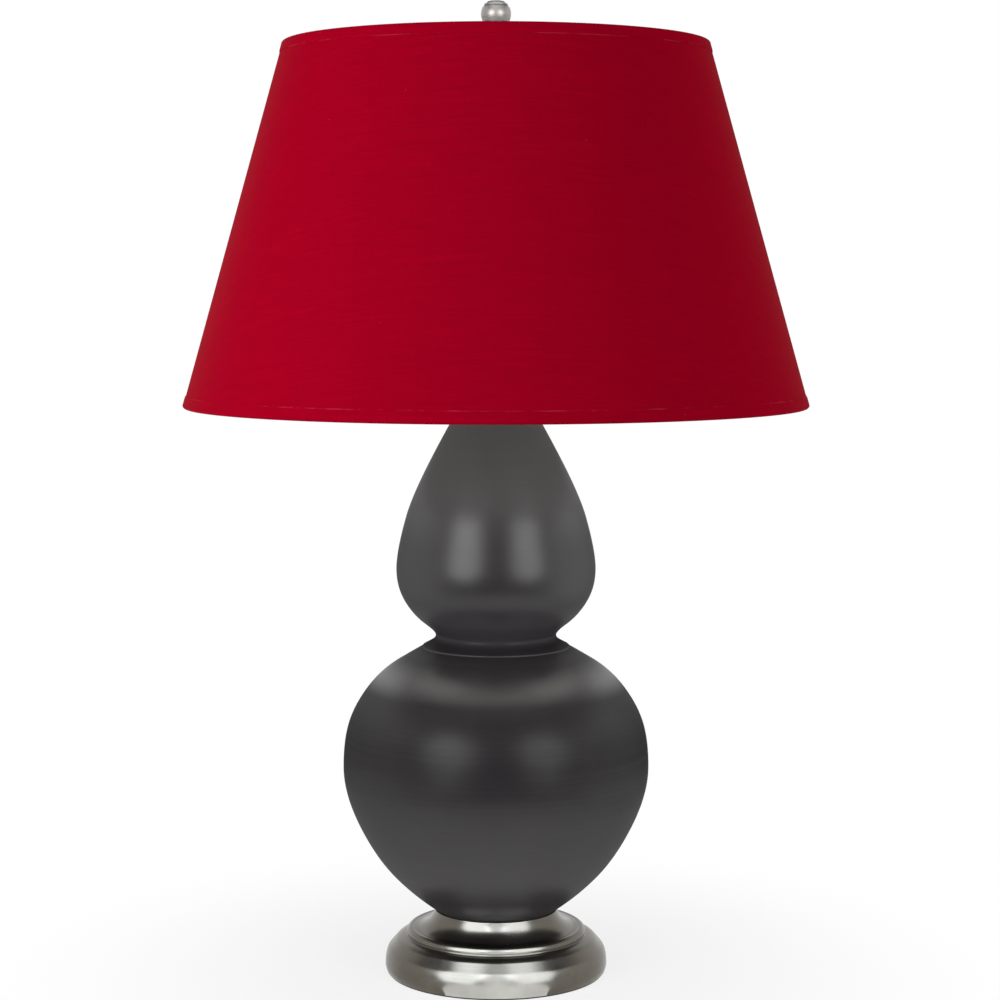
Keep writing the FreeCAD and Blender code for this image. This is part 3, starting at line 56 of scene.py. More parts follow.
MM = 0.001
FULL_TURN = math.tau
QUARTER_TURN = math.pi / 2
TO_BACK = Matrix.Rotation(QUARTER_TURN, 3, "Z")
CRISP = math.radians(40.0)
CLOTH_MAP = "Cloth"

FOOT_LOW, FOOT_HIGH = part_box("metal_foot")
BODY_LOW, BODY_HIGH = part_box("ceramic_body")
CLOTH_LOW, CLOTH_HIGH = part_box("shade_cloth")
FINIAL_LOW, FINIAL_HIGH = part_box("finial")
PAD_LOW, PAD_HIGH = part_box("felt_pad")
BUSHING_LOW, BUSHING_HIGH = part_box("cord_bushing")
SEAM_LOW, SEAM_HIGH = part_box("shade_seam")
BODY_STEPS = 192
PAD_STEPS = 128
SHADE_STEPS = 256
FINIAL_STEPS = 96
FLOOR_RADIUS = 0.6
AMBIENT = 0.34
CAMERA_SPOT = (0.0, -1.946, 0.566)
CAMERA_DIP = math.radians(5.259)
CAMERA_LENS = 87.13
CAMERA_SHIFT = 0.004


# ---------------------------------------------------------------- sizes and colours


def length(name, description, default):
    return FloatProperty(name=name, description=description, default=default, unit="LENGTH", precision=4)


def corner(name, description, radius, height):
    """A control corner of a turned outline: its radius, and its height above the piece's lowest edge."""
    return FloatVectorProperty(
        name=name, description=description, size=2, default=(radius, height), unit="LENGTH", precision=4
    )


def colour(name, description, default):
    return FloatVectorProperty(
        name=name, description=description, size=3, default=default, subtype="COLOR", min=0.0, max=1.0
    )


class FootSizes(PropertyGroup):
    radius: length("Radius", "Big round of the foot at its widest", FOOT_HIGH.x)
    edge: length("Turned edge", "How far the bottom edge turns in", 1.2 * MM)
    edge_rise: length("Edge rise", "Bottom edge, up to the widest radius", 4.4 * MM)
    belly: length("Belly", "Height up to which the big round stays upright", 15.6 * MM)
    flank: corner("Flank", "Control corner of the big round's side", 83.9 * MM, 23.2 * MM)
    shoulder: corner("Shoulder", "Control corner of the big round's top", 79.6 * MM, 28.2 * MM)
    crest: corner("Crest", "Where the big round ends", 73.5 * MM, 29.3 * MM)
    bead_low: corner("Bead, lower end", "Start of the bead", 72.8 * MM, 30.5 * MM)
    bead: corner("Bead", "Fullest part of the bead", 71.7 * MM, 34.6 * MM)
    bead_high: corner("Bead, upper end", "End of the bead", 67.4 * MM, 35.5 * MM)
    step: corner("Step", "Outer edge of the cove", 66.5 * MM, 35.8 * MM)
    cove: corner("Cove", "Deepest part of the cove", 54.8 * MM, 40.9 * MM)
    seat: corner("Seat", "Seat under the ceramic", 50.2 * MM, FOOT_HIGH.z - FOOT_LOW.z)
    wall: length("Wall", "Thickness of the metal", 3.4 * MM)
    bore: length("Bore", "Hole for the pipe", 5.3 * MM)


class CeramicSizes(PropertyGroup):
    foot: corner("Foot", "Where the ceramic stands on the metal", 49.8 * MM, 0.0)
    taper: corner("Taper", "Rise out of the foot", 68.7 * MM, 12.9 * MM)
    flank: corner("Flank", "Lower flank", 99.4 * MM, 45.3 * MM)
    belly: corner("Belly", "Lower belly, its lower end", BODY_HIGH.x, 96.5 * MM)
    belly_length: length("Belly length", "Upright stretch of the lower belly", 41.3 * MM)
    shoulder: corner("Shoulder", "Lower shoulder", 115.9 * MM, 165.8 * MM)
    slope: corner("Slope", "Slope over the shoulder", 94.7 * MM, 194.4 * MM)
    collar: corner("Collar", "Fine raised line below the waist", 59.7 * MM, 215.7 * MM)
    collar_step: length("Collar step", "Height of the fine raised line", 1.0 * MM)
    waist: corner("Waist", "Waist, its lower end", 48.8 * MM, 221.8 * MM)
    waist_length: length("Waist length", "Upright stretch of the waist", 6.2 * MM)
    cup: corner("Cup", "Underside of the upper swelling", 67.6 * MM, 242.1 * MM)
    crown: corner("Crown", "Upper swelling, its lower end", 80.6 * MM, 264.5 * MM)
    crown_length: length("Crown length", "Upright stretch of the upper swelling", 28.7 * MM)
    neck: corner("Neck", "Long taper to the mouth", 64.3 * MM, 350.1 * MM)
    mouth: corner("Mouth", "Mouth of the ceramic", 22.0 * MM, BODY_HIGH.z - BODY_LOW.z)
    wall: length("Wall", "Thickness of the ceramic", 6.0 * MM)
    floor: length("Floor", "Thickness of the floor", 7.0 * MM)
    floor_hole: length("Floor hole", "Radius of the hole in the floor", 14.0 * MM)


class ShadeSizes(PropertyGroup):
    low: length("Lower edge", "Lowest edge of the shade above the table", 462.7 * MM)
    high: length("Upper edge", "Highest edge of the shade above the table", 750.9 * MM)
    low_radius: length("Lower radius", "Cloth at the shade's lower edge", 250.2 * MM)
    high_radius: length("Upper radius", "Cloth at the shade's upper edge", 168.7 * MM)
    cloth: length("Cloth", "Thickness of the cloth", 0.6 * MM)
    liner: length("Liner", "Thickness of the stiff liner", 0.8 * MM)
    glue: length("Glue", "Glue between the layers", 0.15 * MM)
    tape: length("Tape", "Thickness of the hem tape", 0.5 * MM)
    low_hem: length("Lower hem", "Height of the lower hem", 9.6 * MM)
    high_hem: length("Upper hem", "Height of the upper hem", 8.4 * MM)
    pressed: length("Pressed edge", "How far the tape is pressed thin along its edge", 1.6 * MM)
    ring: length("Ring room", "Inside of the fold round a ring", 1.75 * MM)
    hem_return: length("Hem return", "Height where the hem meets the liner again", 6.6 * MM)
    seam_width: length("Seam", "Width of the lap seam at the back", SEAM_HIGH.x - SEAM_LOW.x)
    seam_thick: length("Seam thickness", "Thickness of the lap seam", 0.35 * MM)


class FinialSizes(PropertyGroup):
    base: corner("Base", "Finial's foot", 8.2 * MM, 2.4 * MM)
    stem: corner("Stem", "Narrowest part of the stem", 5.0 * MM, 9.5 * MM)
    ball: length("Ball", "Radius of the ball", FINIAL_HIGH.x)
    ball_centre: length("Ball centre", "Height of the ball's centre", 27.8 * MM)
    groove_low: length("Inner groove", "Lower groove of a half, from the centre", 6.3 * MM)
    groove_high: length("Outer groove", "Upper groove of a half, from the centre", 9.2 * MM)
    groove_depth: length("Groove depth", "Depth of the grooves", 0.8 * MM)
    groove_width: length("Groove width", "Width of the grooves", 1.2 * MM)
    button: length("Button", "Radius of the button", 3.1 * MM)
    bore: length("Bore", "Bore for the stud", 3.05 * MM)
    bore_height: length("Bore height", "Depth of the bore", 12.9 * MM)


class LampColours(PropertyGroup):
    cloth: colour("Cloth", "Crimson shade cloth", (0.345, 0.0003, 0.0135))
    lint: colour("Lint", "Flecks of lint on the cloth", (0.50, 0.06, 0.08))
    # Paler hem edge colour: partly wear of the tape, partly a painted highlight along its edge.
    worn: colour("Worn edge", "Paler edge of the hem tapes", (0.52, 0.045, 0.07))
    liner: colour("Liner", "White liner inside the shade", (0.80, 0.79, 0.76))
    glaze: colour("Glaze", "Satin charcoal glaze", (0.0213, 0.0191, 0.0209))
    nickel: colour("Dark nickel", "Polished dark nickel of foot, cap and neck", (0.128, 0.116, 0.096))
    satin: colour("Satin nickel", "Brushed nickel of the finial", (0.40, 0.385, 0.370))
    bright: colour("Bright nickel", "Harp, socket and shade wires", (0.62, 0.60, 0.57))
    felt: colour("Felt", "Felt under the foot", (0.020, 0.021, 0.022))


class LampSettings(PropertyGroup):
    foot: PointerProperty(type=FootSizes, name="Foot")
    ceramic: PointerProperty(type=CeramicSizes, name="Ceramic")
    shade: PointerProperty(type=ShadeSizes, name="Shade")
    finial: PointerProperty(type=FinialSizes, name="Finial")
    colours: PointerProperty(type=LampColours, name="Colours")


def lamp():
    """The lamp's sizes and colours."""
    return bpy.context.scene.gourd_lamp


# ---------------------------------------------------------------- turned outlines


class Outline:
    """A chain of vertices in the X-Z plane, drawn as a turner would, then spun round the lamp's axis."""

    def __init__(self, start):
        self.mesh = bmesh.new()
        self.start = self._point(start)
        self.last = self.start

    def _point(self, spot):
        return self.mesh.verts.new((spot[0], 0.0, spot[1]))

    def line(self, *spots):
        for spot in spots:
            fresh = self._point(spot)
            self.mesh.edges.new((self.last, fresh))
            self.last = fresh
        return self

    def arc(self, middle, end, steps):
        """Spins the last vertex along the circle through a middle point and an end point."""
        first = Vector((self.last.co.x, self.last.co.z))
        middle, end = Vector(middle), Vector(end)
        centre = circle_centre(first, middle, end)
        turn_to_middle = turn_between(first - centre, middle - centre)
        turn_to_end = turn_between(first - centre, end - centre)
        if turn_to_middle > turn_to_end:
            turn_to_end -= FULL_TURN
        made = bmesh.ops.spin(
            self.mesh,
            geom=[self.last],
            cent=(centre.x, 0.0, centre.y),
            axis=(0.0, 1.0, 0.0),
            angle=-turn_to_end,
            steps=steps,
            use_duplicate=False,
        )
        self.last = made["geom_last"][0]
        return self

    def flow(self, spots, steps):
        """Follows the smooth line that a chain of control corners pulls, from the first to the last."""
        curve = bpy.data.curves.new("flow", "CURVE")
        curve.dimensions = "3D"
        curve.resolution_u = steps
        spline = curve.splines.new("NURBS")
        spline.points.add(len(spots) - 1)
        for point, spot in zip(spline.points, spots):
            point.co = (spot[0], 0.0, spot[1], 1.0)
        spline.order_u = 3
        spline.use_endpoint_u = True
        holder = bpy.data.objects.new("flow", curve)
        drawn = bpy.data.meshes.new_from_object(holder)
        followed = [(vertex.co.x, vertex.co.z) for vertex in drawn.vertices]
        bpy.data.objects.remove(holder)
        bpy.data.curves.remove(curve)
        bpy.data.meshes.remove(drawn)
        return self.line(*followed[1:])

    def leap(self, spot):
        """Goes on from another point of the axis, where the spin closes the gap."""
        self.last = self._point(spot)
        return self

    def close(self):
        self.mesh.edges.new((self.last, self.start))
        return self

    def to_back(self):
        """Turns the outline to the lamp's back."""
        mesh = self.mesh
        bmesh.ops.rotate(mesh, verts=mesh.verts[:], cent=(0, 0, 0), matrix=TO_BACK)
        return mesh

    def turned(self, steps):
        """Spins the outline round the axis, its joint at the back."""
        mesh = self.to_back()
        bmesh.ops.spin(
            mesh,
            geom=mesh.verts[:] + mesh.edges[:],
            cent=(0, 0, 0),
            axis=(0, 0, 1),
            angle=FULL_TURN,
            steps=steps,
            use_merge=True,
            use_duplicate=False,
        )
        bmesh.ops.remove_doubles(mesh, verts=mesh.verts[:], dist=1e-6)
        bmesh.ops.recalc_face_normals(mesh, faces=mesh.faces[:])
        return mesh


def circle_centre(a, b, c):
    """Centre of the circle through three points of a plane."""
    ab, ac = b - a, c - a
    twice_area = 2 * (ab.x * ac.y - ab.y * ac.x)
    across = ac.y * ab.length_squared - ab.y * ac.length_squared
    up = ab.x * ac.length_squared - ac.x * ab.length_squared
    return a + Vector((across / twice_area, up / twice_area))


def turn_between(first, second):
    """Anticlockwise angle from one direction to another, from 0 to a full turn."""
    angle = math.atan2(second.y, second.x) - math.atan2(first.y, first.x)
    return angle % FULL_TURN


def soften(mesh, width, sharper_than, segments=2):
    """Rounds every edge that is sharper than an angle."""
    limit = math.radians(sharper_than)
    edges = [edge for edge in mesh.edges if len(edge.link_faces) == 2 and edge.calc_face_angle(0.0) > limit]
    bmesh.ops.bevel(
        mesh,
        geom=edges,
        offset=width,
        offset_type="OFFSET",
        segments=segments,
        profile=0.5,
        affect="EDGES",
        material=-1,
        clamp_overlap=True,
    )


def placed(name, data):
    """A new object in the scene."""
    thing = bpy.data.objects.new(name, data)
    bpy.context.scene.collection.objects.link(thing)
    return thing


def solid(name, mesh):
    """A new object in the scene from a finished bmesh."""
    data = bpy.data.meshes.new(name)
    mesh.to_mesh(data)
    mesh.free()
    return placed(name, data)


def finished(mesh, name, body, node, material):
    """Makes the object of a piece, which rides on its body and stands for its node."""
    piece = solid(name, mesh)
    piece.data.shade_smooth()
    piece.data.set_sharp_from_angle(angle=CRISP)
    piece.data.materials.append(material)
    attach(piece, body)
    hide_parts(node)
    return piece


# ---------------------------------------------------------------- material drawing


class Wire:
    """An output of a node tree, with arithmetic."""

    def __init__(self, tree, socket):
        self.tree = tree
        self.socket = socket

    def _math(self, operation, *values):
        return self.tree.add("ShaderNodeMath", {"operation": operation}, values)

    def __add__(self, other):
        return self._math("ADD", self, other)

    __radd__ = __add__

    def __sub__(self, other):
        return self._math("SUBTRACT", self, other)

    def __rsub__(self, other):
        return self._math("SUBTRACT", other, self)

    def __mul__(self, other):
        return self._math("MULTIPLY", self, other)

    __rmul__ = __mul__

    def __pow__(self, other):
        return self._math("POWER", self, other)

    def __abs__(self):
        return self._math("ABSOLUTE", self)

    def most(self, other):
        return self._math("MAXIMUM", self, other)

    def sine(self):
        return self._math("SINE", self)


class Tree:
    """A node tree that is drawn one node at a time."""

    def __init__(self, owner):
        owner.use_nodes = True
        self.owner = owner
        self.nodes = owner.node_tree.nodes
        self.links = owner.node_tree.links
        self.nodes.clear()

    def add(self, kind, settings=None, inputs=(), output=0):
        """A node with its settings made first, then its sockets; gives the named or numbered output."""
        node = self.nodes.new(kind)
        for name, value in (settings or {}).items():
            setattr(node, name, value)
        pairs = inputs.items() if isinstance(inputs, dict) else enumerate(inputs)
        for name, value in pairs:
            if isinstance(value, Wire):
                self.links.new(value.socket, node.inputs[name])
            else:
                node.inputs[name].default_value = value
        return Wire(self, node.outputs[output]) if node.outputs else None

    def place(self, stretch=(1.0, 1.0, 1.0), turn=(0.0, 0.0, 0.0)):
        """Object coordinates, stretched and turned."""
        spot = self.add("ShaderNodeTexCoord", output="Object")
        return self.add("ShaderNodeMapping", None, {"Vector": spot, "Scale": stretch, "Rotation": turn})

    def along(self, stretch):
        """The cloth's own map, in metres, stretched."""
        spot = self.add("ShaderNodeUVMap", {"uv_map": CLOTH_MAP})
        return self.add("ShaderNodeMapping", None, {"Vector": spot, "Scale": stretch})

    def parts(self, vector):
        """The three numbers of a vector."""
        node = self.add("ShaderNodeSeparateXYZ", None, (vector,)).socket.node
        return [Wire(self, socket) for socket in node.outputs]

    def noise(self, vector, scale, detail=2.0, rough=0.5):
        return self.add(
            "ShaderNodeTexNoise",
            None,
            {"Vector": vector, "Scale": scale, "Detail": detail, "Roughness": rough},
            "Fac",
        )

    def spots(self, vector, scale):
        """Distance to the nearest of many scattered points."""
        return self.add("ShaderNodeTexVoronoi", None, {"Vector": vector, "Scale": scale}, "Distance")

    def between(self, value, start=0.3, end=0.7, low=0.0, high=1.0):
        """Maps a range of a value, by default the one where most of a noise lies, smoothly on another."""
        return self.add(
            "ShaderNodeMapRange",
            {"interpolation_type": "SMOOTHSTEP"},
            {"Value": value, "From Min": start, "From Max": end, "To Min": low, "To Max": high},
        )

    def band(self, value, centre, half):
        """1 at a centre, falling smoothly to 0 at half a width away."""
        return self.between(abs(value - centre), 0.0, half, 1.0, 0.0)

    def blend(self, first, second, share):
        """Colour between two colours."""
        return self.add("ShaderNodeMix", {"data_type": "RGBA"}, {0: share, 6: first, 7: second}, 2)

    def bump(self, height, strength, depth):
        return self.add("ShaderNodeBump", None, {"Height": height, "Strength": strength, "Distance": depth})

    def surface(self, **sockets):
        """Ends in a principled shader, and gives the material."""
        names = {name.replace("_", " "): value for name, value in sockets.items()}
        self.end("ShaderNodeOutputMaterial", self.add("ShaderNodeBsdfPrincipled", None, names))
        return self.owner

    def end(self, kind, shader):
        """The tree's output, fed by a shader."""
        self.add(kind, None, {"Surface": shader})


def tone(value, share=1.0, alpha=1.0):
    """A colour made lighter or darker, with its alpha."""
    return (*[part * share for part in value], alpha)


def new_material(name):
    return Tree(bpy.data.materials.new(name))


def red_cloth():
    """Crimson plain weave with fine slubs, a little lint, and a paler hem tape edge, partly wear, partly
    painted highlight.
    """
    colours, shade = lamp().colours, lamp().shade
    base = colours.cloth
    tree = new_material("red_cloth")
    slubs = tree.noise(tree.along((24.0, 1300.0, 1.0)), 1.0, 3.0, 0.6)
    long_slubs = tree.noise(tree.along((9.0, 520.0, 1.0)), 1.0)
    cross = tree.noise(tree.along((1100.0, 40.0, 1.0)), 1.0)
    mottle = tree.noise(tree.along((45.0, 150.0, 1.0)), 1.0, 4.0, 0.7)
    across, up, _ = tree.parts(tree.along((1.0, 1.0, 1.0)))
    threads = FULL_TURN / (0.55 * MM)
    weave = (across * threads).sine() * (up * threads).sine()
    streaks = slubs * 0.65 + long_slubs * 0.35
    lint = tree.between(tree.spots(tree.along((38.0, 38.0, 1.0)), 1.0), 0.024, 0.012)
    _, _, height = tree.parts(tree.place())
    half = 0.55 * MM
    # Bands along the hem tapes' edges, painted paler: partly wear, partly a painted highlight.
    low_edge_highlight = tree.band(height, shade.low + shade.low_hem, half)
    high_edge_highlight = tree.band(height, shade.high - shade.high_hem, half)
    fray = tree.between(tree.noise(tree.place(), 28.0, 3.0, 0.7), 0.46, 0.62)
    darker = tree.blend(tone(base, 0.89), tone(base), tree.between(streaks, 0.38, 0.50))
    lighter = tree.blend(darker, tone(base, 1.12), tree.between(streaks, 0.52, 0.66))
    mottled = tree.blend(lighter, tone(base, 0.92), tree.between(mottle, 0.42, 0.62) * 0.55)
    crossed = tree.blend(mottled, tone(base, 0.92), tree.between(cross, 0.48, 0.66) * 0.5)
    flecked = tree.blend(crossed, tone(colours.lint), lint * 0.4)
    # Painted highlight with some wear: the hem tape edges are lightened.
    worn = tree.blend(flecked, tone(colours.worn), low_edge_highlight.most(high_edge_highlight * 0.7) * fray * 0.6)
    return tree.surface(
        Base_Color=worn,
        Roughness=tree.between(streaks, low=0.90, high=0.80),
        Normal=tree.bump(streaks * 0.6 + cross * 0.2 + weave * 0.12, 0.30, 0.25 * MM),
        Specular_IOR_Level=0.0,
        Sheen_Weight=0.13,
        Sheen_Roughness=0.30,
        Sheen_Tint=(1.0, 0.62, 0.50, 1.0),
    )


def white_liner():
    """Stiff white liner, faintly mottled, with a slight grain."""
    base = lamp().colours.liner
    tree = new_material("white_liner")
    cloud = tree.noise(tree.place(), 9.0, 3.0)
    grain = tree.noise(tree.place(), 900.0)
    return tree.surface(
        Base_Color=tree.blend(tone(base, 0.955), tone(base), tree.between(cloud)),
        Roughness=tree.between(grain, low=0.42, high=0.55),
        Normal=tree.bump(grain, 0.15, 0.05 * MM),
    )


def charcoal_glaze():
    """Satin charcoal glaze: fine speckle, faint throwing lines, painted light and shade at set heights."""
    base, ceramic = lamp().colours.glaze, lamp().ceramic
    tree = new_material("charcoal_glaze")
    _, _, height = tree.parts(tree.place())
    cloud = tree.noise(tree.place(), 16.0, 4.0, 0.6)
    rings = tree.noise(tree.place((1.5, 1.5, 420.0)), 1.0, 3.0, 0.6)
    speckle = tree.noise(tree.place(), 1500.0, 2.0, 0.6)
    peel = tree.noise(tree.place(), 210.0)
    collar = tree.band(height, BODY_LOW.z + ceramic.collar[1], 1.1 * MM)
    throat = tree.band(height, BODY_LOW.z + ceramic.waist[1], 13.0 * MM)
    waist = tree.band(height, BODY_LOW.z + ceramic.waist[1] + 14.0 * MM, 19.0 * MM)
    slope = tree.band(height, BODY_LOW.z + ceramic.slope[1], 15.0 * MM)
    belly = tree.band(height, BODY_LOW.z + ceramic.belly[1] + ceramic.belly_length, 60.0 * MM)
    crown_top = BODY_LOW.z + ceramic.crown[1] + ceramic.crown_length
    neck = tree.between(height, crown_top, BODY_LOW.z + ceramic.neck[1])
    # Painted shade: the glaze colour is darkened on the lower belly.
    shaded_belly = tree.blend(tone(base), tone(base, 0.84), belly)
    clouded = tree.blend(shaded_belly, tone(base, 1.20), tree.between(cloud) * 0.3)
    ringed = tree.blend(clouded, tone(base, 1.16), tree.between(rings, 0.45, 0.75) * 0.35)
    speckled = tree.blend(ringed, tone(base, 0.80), tree.between(speckle, 0.56, 0.74) * 0.5)
    # Painted light: the shaded waist is lightened.
    waist_painted_light = tree.blend(speckled, tone(base, 3.2), waist * 0.8)
    # Painted reflection of the pale floor: the glaze is lightened towards the bottom.
    lowest = tree.between(height, BODY_LOW.z + ceramic.belly[1], BODY_LOW.z + 10.0 * MM)
    low_painted_light = tree.blend(waist_painted_light, tone(base, 1.8), lowest * 0.8)
    # Painted highlight: the raised line below the waist is lightened.
    collar_highlight = tree.blend(low_painted_light, tone(base, 3.2), collar * 0.6)
    # The gloss changes with the height.
    worn = (cloud - 0.5) * 0.03 + (rings - 0.5) * 0.03
    skin = 0.185 + worn - belly * 0.120 - throat * 0.16 + slope * 0.46 + lowest * 0.06 + neck * 0.15
    return tree.surface(
        Base_Color=collar_highlight,
        Roughness=tree.between(cloud, low=0.42, high=0.50),
        Normal=tree.bump(peel + rings * 0.5 + speckle * 0.1, 0.10, 0.08 * MM),
        Specular_IOR_Level=0.0,
        Coat_Weight=skin,
        Coat_Roughness=0.35,
        Coat_IOR=3.0,
    )


def dark_nickel():
    """Polished dark nickel with polishing lines, clouded patina and painted shade in its notch and step."""
    base, foot = lamp().colours.nickel, lamp().foot
    tree = new_material("dark_nickel")
    _, _, height = tree.parts(tree.place())
    lines = tree.noise(tree.place((3.0, 3.0, 1500.0)), 1.0, 3.0, 0.6)
    cloud = tree.noise(tree.place(), 22.0, 4.0, 0.6)
    wear = tree.noise(tree.place(), 50.0, 1.0)
    # Painted shade: the notch below the bead and the cove's step line are darkened.
    notch = tree.band(height, FOOT_LOW.z + (foot.crest[1] + foot.bead_low[1]) / 2, 2.2 * MM)
    step = tree.band(height, FOOT_LOW.z + foot.step[1], 0.7 * MM)
    shaded_hollow = notch.most(step)
    clouded = tree.blend(tone(base, 0.88), tone(base, 1.12), tree.between(cloud))
    lined = tree.blend(clouded, tone(base, 1.14), tree.between(lines, 0.5, 0.78) * 0.5)
    worn = tree.blend(lined, tone(base, 0.88), tree.between(wear, 0.50, 0.75) * 0.4)
    return tree.surface(
        Base_Color=tree.blend(worn, tone(base, 0.42), shaded_hollow * 0.75),
        Metallic=1.0,
        Roughness=tree.between(cloud, low=0.20, high=0.26) + tree.between(wear, 0.4, 0.8) * 0.04,
        Normal=tree.bump(lines, 0.05, 0.03 * MM),
    )


def satin_nickel():
    """Brushed nickel: turning lines round the finial, with painted shade darkening its grooves."""
    base, finial = lamp().colours.satin, lamp().finial
    tree = new_material("satin_nickel")
    _, _, height = tree.parts(tree.place())
    lines = tree.noise(tree.place((40.0, 40.0, 2600.0)), 1.0, 3.0, 0.6)
    cloud = tree.noise(tree.place(), 90.0, 3.0, 0.6)
    level = abs(height - (FINIAL_LOW.z + finial.ball_centre))
    half = 0.9 * MM
    # Painted shade: the grooves are darkened.
    inner = tree.band(level, finial.groove_low, half)
    outer = tree.band(level, finial.groove_high, half)
    clouded = tree.blend(tone(base, 0.86), tone(base, 1.06), tree.between(cloud))
    lined = tree.blend(clouded, tone(base, 0.78), tree.between(lines, 0.5, 0.75) * 0.6)
    return tree.surface(
        Base_Color=tree.blend(lined, tone(base, 0.35), inner.most(outer) * 0.85),
        Metallic=1.0,
        Roughness=tree.between(lines, low=0.34, high=0.44),
        Normal=tree.bump(lines, 0.12, 0.04 * MM),
    )


def plain_metal(name, base, rough, grain_stretch, tarnish=0.75):
    """Drawn or stamped metal: grain along its making, small stains and an uneven polish."""
    tree = new_material(name)
    grain = tree.noise(tree.place(grain_stretch), 1.0, 3.0, 0.6)
    stain = tree.noise(tree.place(), 60.0, 4.0, 0.6)
    pits = tree.noise(tree.place(), 1100.0)
    grained = tree.blend(tone(base, 0.92), tone(base, 1.04), tree.between(grain))
    stained = tree.blend(grained, tone(base, tarnish), tree.between(stain, 0.52, 0.78) * 0.7)
    return tree.surface(
        Base_Color=stained,
        Metallic=1.0,
        Roughness=tree.between(stain, 0.3, 0.75, rough, rough + 0.12) + tree.between(pits, 0.6, 0.8) * 0.06,
        Normal=tree.bump(grain + pits * 0.3, 0.06, 0.03 * MM),
    )


def moulded(name, base, rough, grain_scale=700.0, depth=0.05):
    """Moulded plastic or rubber with a fine spark grain and a few scuffs."""
    tree = new_material(name)
    grain = tree.noise(tree.place(), grain_scale, 2.0, 0.6)
    scuff = tree.noise(tree.place((60.0, 60.0, 400.0)), 1.0, 3.0, 0.6)
    return tree.surface(
        Base_Color=tree.blend(tone(base), tone(base, 1.6), tree.between(scuff, 0.55, 0.8) * 0.4),
        Roughness=tree.between(grain, low=rough, high=rough + 0.1),
        Normal=tree.bump(grain, 0.25, depth * MM),
    )


def fibre_board(name, base, warm):
    """Pressed fibre or card: flecks and short fibres."""
    tree = new_material(name)
    fibres = tree.noise(tree.place((300.0, 900.0, 900.0)), 1.0, 3.0, 0.7)
    flecks = tree.noise(tree.place(), 420.0, 3.0, 0.7)
    mixed = tree.blend(tone(base, 0.86), tone(base, 1.08), tree.between(fibres, 0.35, 0.65))
    return tree.surface(
        Base_Color=tree.blend(mixed, tone(warm), tree.between(flecks, 0.56, 0.72) * 0.6),
        Roughness=tree.between(fibres, low=0.78, high=0.92),
        Normal=tree.bump(fibres, 0.35, 0.10 * MM),
    )


def pressed_felt():
    """Pressed wool felt: matted fibres and a soft nap."""
    base = lamp().colours.felt
    tree = new_material("felt")
    fibres = tree.noise(tree.place((500.0, 1600.0, 1600.0), (0.0, 0.0, 0.6)), 1.0, 4.0, 0.7)
    crossed = tree.noise(tree.place((1600.0, 500.0, 1600.0), (0.0, 0.0, 0.3)), 1.0, 4.0, 0.7)
    cloud = tree.noise(tree.place(), 40.0, 3.0)
    mat = tree.between(fibres * 0.5 + crossed * 0.5, 0.38, 0.62)
    matted = tree.blend(tone(base, 0.7), tone(base, 1.7), mat)
    return tree.surface(
        Base_Color=tree.blend(matted, tone(base, 1.3), tree.between(cloud, 0.4, 0.7) * 0.5),
        Roughness=0.95,
        Normal=tree.bump(fibres + crossed, 0.6, 0.25 * MM),
        Sheen_Weight=0.35,
        Sheen_Roughness=0.6,
    )


def frosted_glass():
    """Bulb glass frosted inside: milky, with an uneven powder coat and a glossy skin."""
    tree = new_material("frosted_glass")
    thin, thick = (0.80, 0.80, 0.78, 1.0), (0.90, 0.90, 0.88, 1.0)
    powder = tree.noise(tree.place(), 45.0, 4.0, 0.6)
    grain = tree.noise(tree.place(), 1400.0)
    return tree.surface(
        Base_Color=tree.blend(thin, thick, tree.between(powder)),
        Roughness=tree.between(grain, low=0.30, high=0.40),
        Normal=tree.bump(powder, 0.04, 0.1 * MM),
        Coat_Weight=0.6,
        Coat_Roughness=0.05,
        Subsurface_Weight=0.25,
        Subsurface_Radius=(0.01, 0.01, 0.01),
        Subsurface_Scale=0.4,
    )


# ---------------------------------------------------------------- pieces


